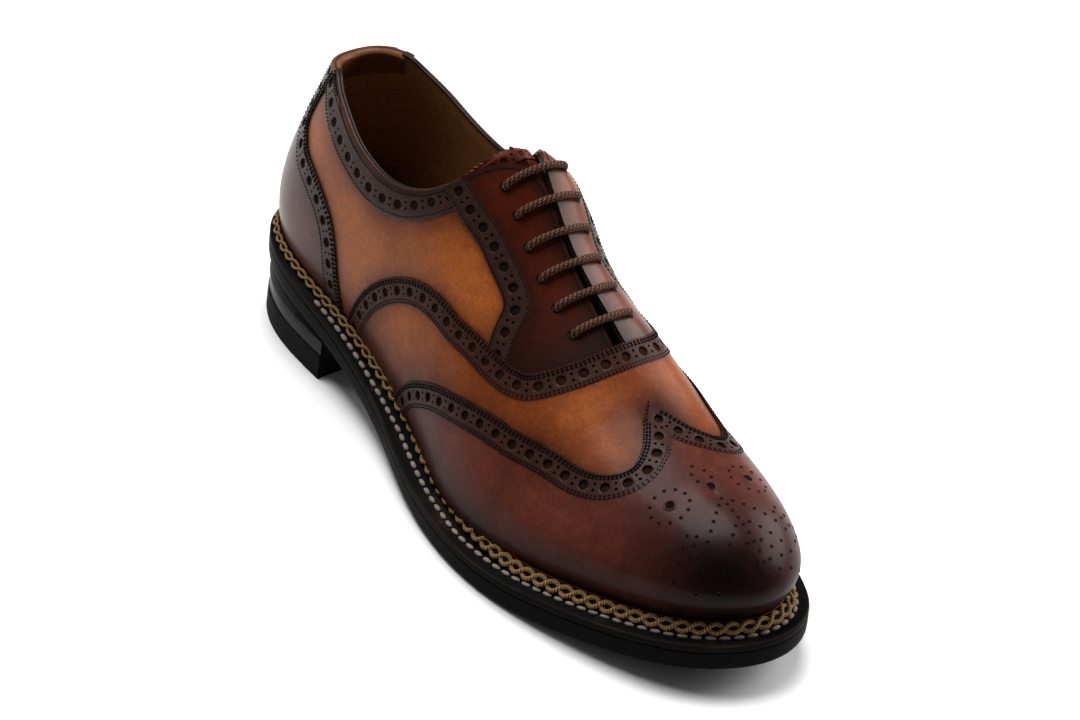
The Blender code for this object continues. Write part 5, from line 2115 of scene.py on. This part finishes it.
        def shape(a: Array, b: Array) -> Array:
            """Place rows round the heel, then along its breast."""
            inset, fall = rows[row_of(b, len(rows))].T
            back = np.maximum(inset - low, 0)
            plan = LAST.outline(end - 2 * end * np.minimum(a / share, 1), inset)
            plan[:, 0] = np.minimum(plan[:, 0], self.breast - back)
            front = np.clip((a - share) / (1 - share), 0, 1)
            first, last = (LAST.outline(np.full(a.shape, way * end), inset) for way in (-1, 1))
            across = first * (1 - front)[:, None] + last * front[:, None]
            across[:, 0] -= self.hollow * 4 * front * (1 - front) + back
            plan = np.where((a > share)[:, None], across, plan)
            lid = LAST.welt_top(plan[:, 0]) - self.edge - 0.3 if top is None else top
            return raised(plan, lid * (1 - fall) + bottom * fall)

        bm = grid(300, len(rows) - 1, shape)
        weld(bm)
        bmesh.ops.holes_fill(bm, edges=border(bm))
        face_out(bm)
        dress(bm, name, finish, [node], sharp=40)

    def build(self) -> None:
        """Make all of the sole's pieces."""
        self.footbed()
        self.welt()
        self.chain.build()
        self.ring(self.side, "outsole_edge", EDGE, "outsole", self.under)
        self.heel()


@dataclass
class Studio:
    """A pale floor, soft lights and the camera."""

    camera_at: Triple = (1077.4, -677.2, 821.7)
    aim: Triple = (155.7, 3.7, 47.6)
    roll: float = 5.71
    lens: float = 126.0
    sensor: float = 36.0
    clip: Pair = (0.05, 50.0)
    ambient: float = 0.10
    light_aim: Triple = (0.0, 0.0, 0.05)
    floor_size: float = 6.0

    def camera(self) -> None:
        """Set up the camera at the photograph's angle to the shoe."""
        data = bpy.data.cameras.new("camera")
        data.lens = self.lens
        data.sensor_width = self.sensor
        data.clip_start, data.clip_end = self.clip
        camera = linked("camera", data)
        at, aim = (Vector(placed(np.array(point))) for point in (self.camera_at, self.aim))
        turn = (aim - at).to_track_quat("-Z", "Y").to_matrix().to_4x4()
        camera.matrix_world = (Matrix.Translation(at) @ turn
                               @ Matrix.Rotation(math.radians(self.roll), 4, "Z"))
        bpy.context.scene.camera = camera

    def softbox(self, name: str, at: Triple, size: Pair,
                power: float) -> None:
        """Add one rectangular soft light."""
        data = bpy.data.lights.new(name, "AREA")
        data.shape = "RECTANGLE"
        data.size, data.size_y = size
        data.energy = power
        light = linked(name, data)
        light.location = at
        light.rotation_euler = (Vector(self.light_aim) - Vector(at)).to_track_quat("-Z", "Y").to_euler()

    def floor(self) -> None:
        """Add the floor under the shoe."""
        bm = bmesh.new()
        bmesh.ops.create_grid(bm, x_segments=8, y_segments=8, size=self.floor_size)
        mesh = as_mesh(bm, "floor")
        material = bpy.data.materials.new("floor_paper")
        material.use_nodes = True
        desk = NodeDesk(material.node_tree)
        tone = desk.spread(desk.noise(6.0, 3.0), 0.3, 0.7, 0.86, 0.89)
        desk.fill(material.node_tree.nodes["Principled BSDF"],
                  {"Base Color": desk.grey(tone), "Roughness": 0.7})
        mesh.materials.append(material)
        linked("floor", mesh)

    def build(self) -> None:
        """Set up the whole studio."""
        self.camera()
        self.floor()
        world = bpy.data.worlds.new("studio")
        world.use_nodes = True
        back = world.node_tree.nodes["Background"]
        back.inputs["Color"].default_value = (1.0, 1.0, 1.0, 1.0)
        back.inputs["Strength"].default_value = self.ambient
        bpy.context.scene.world = world
        self.softbox("top_light", (-0.4, 0.08, 1.46), (1.1, 0.9), 36.0)
        self.softbox("right_light", (0.2, 1.35, 0.75), (1.3, 0.9), 25.0)
        self.softbox("left_fill", (-1.3, -0.5, 0.8), (0.9, 0.8), 5.0)
        bpy.context.scene.view_settings.view_transform = "Standard"


def main() -> None:
    """Build the shoe and its studio."""
    Studio().build()
    pattern = Pattern()
    eyelets = Eyelets()
    upper = Upper(pattern)
    upper.build()
    Counter(pattern, upper.strap).build()
    Facings(pattern, eyelets, upper).build()
    Vamp(pattern).build()
    Wing(pattern).build()
    Tongue().build()
    Lace(eyelets).build()
    Sole(Chain()).build()


if __name__ == "__main__":
    main()
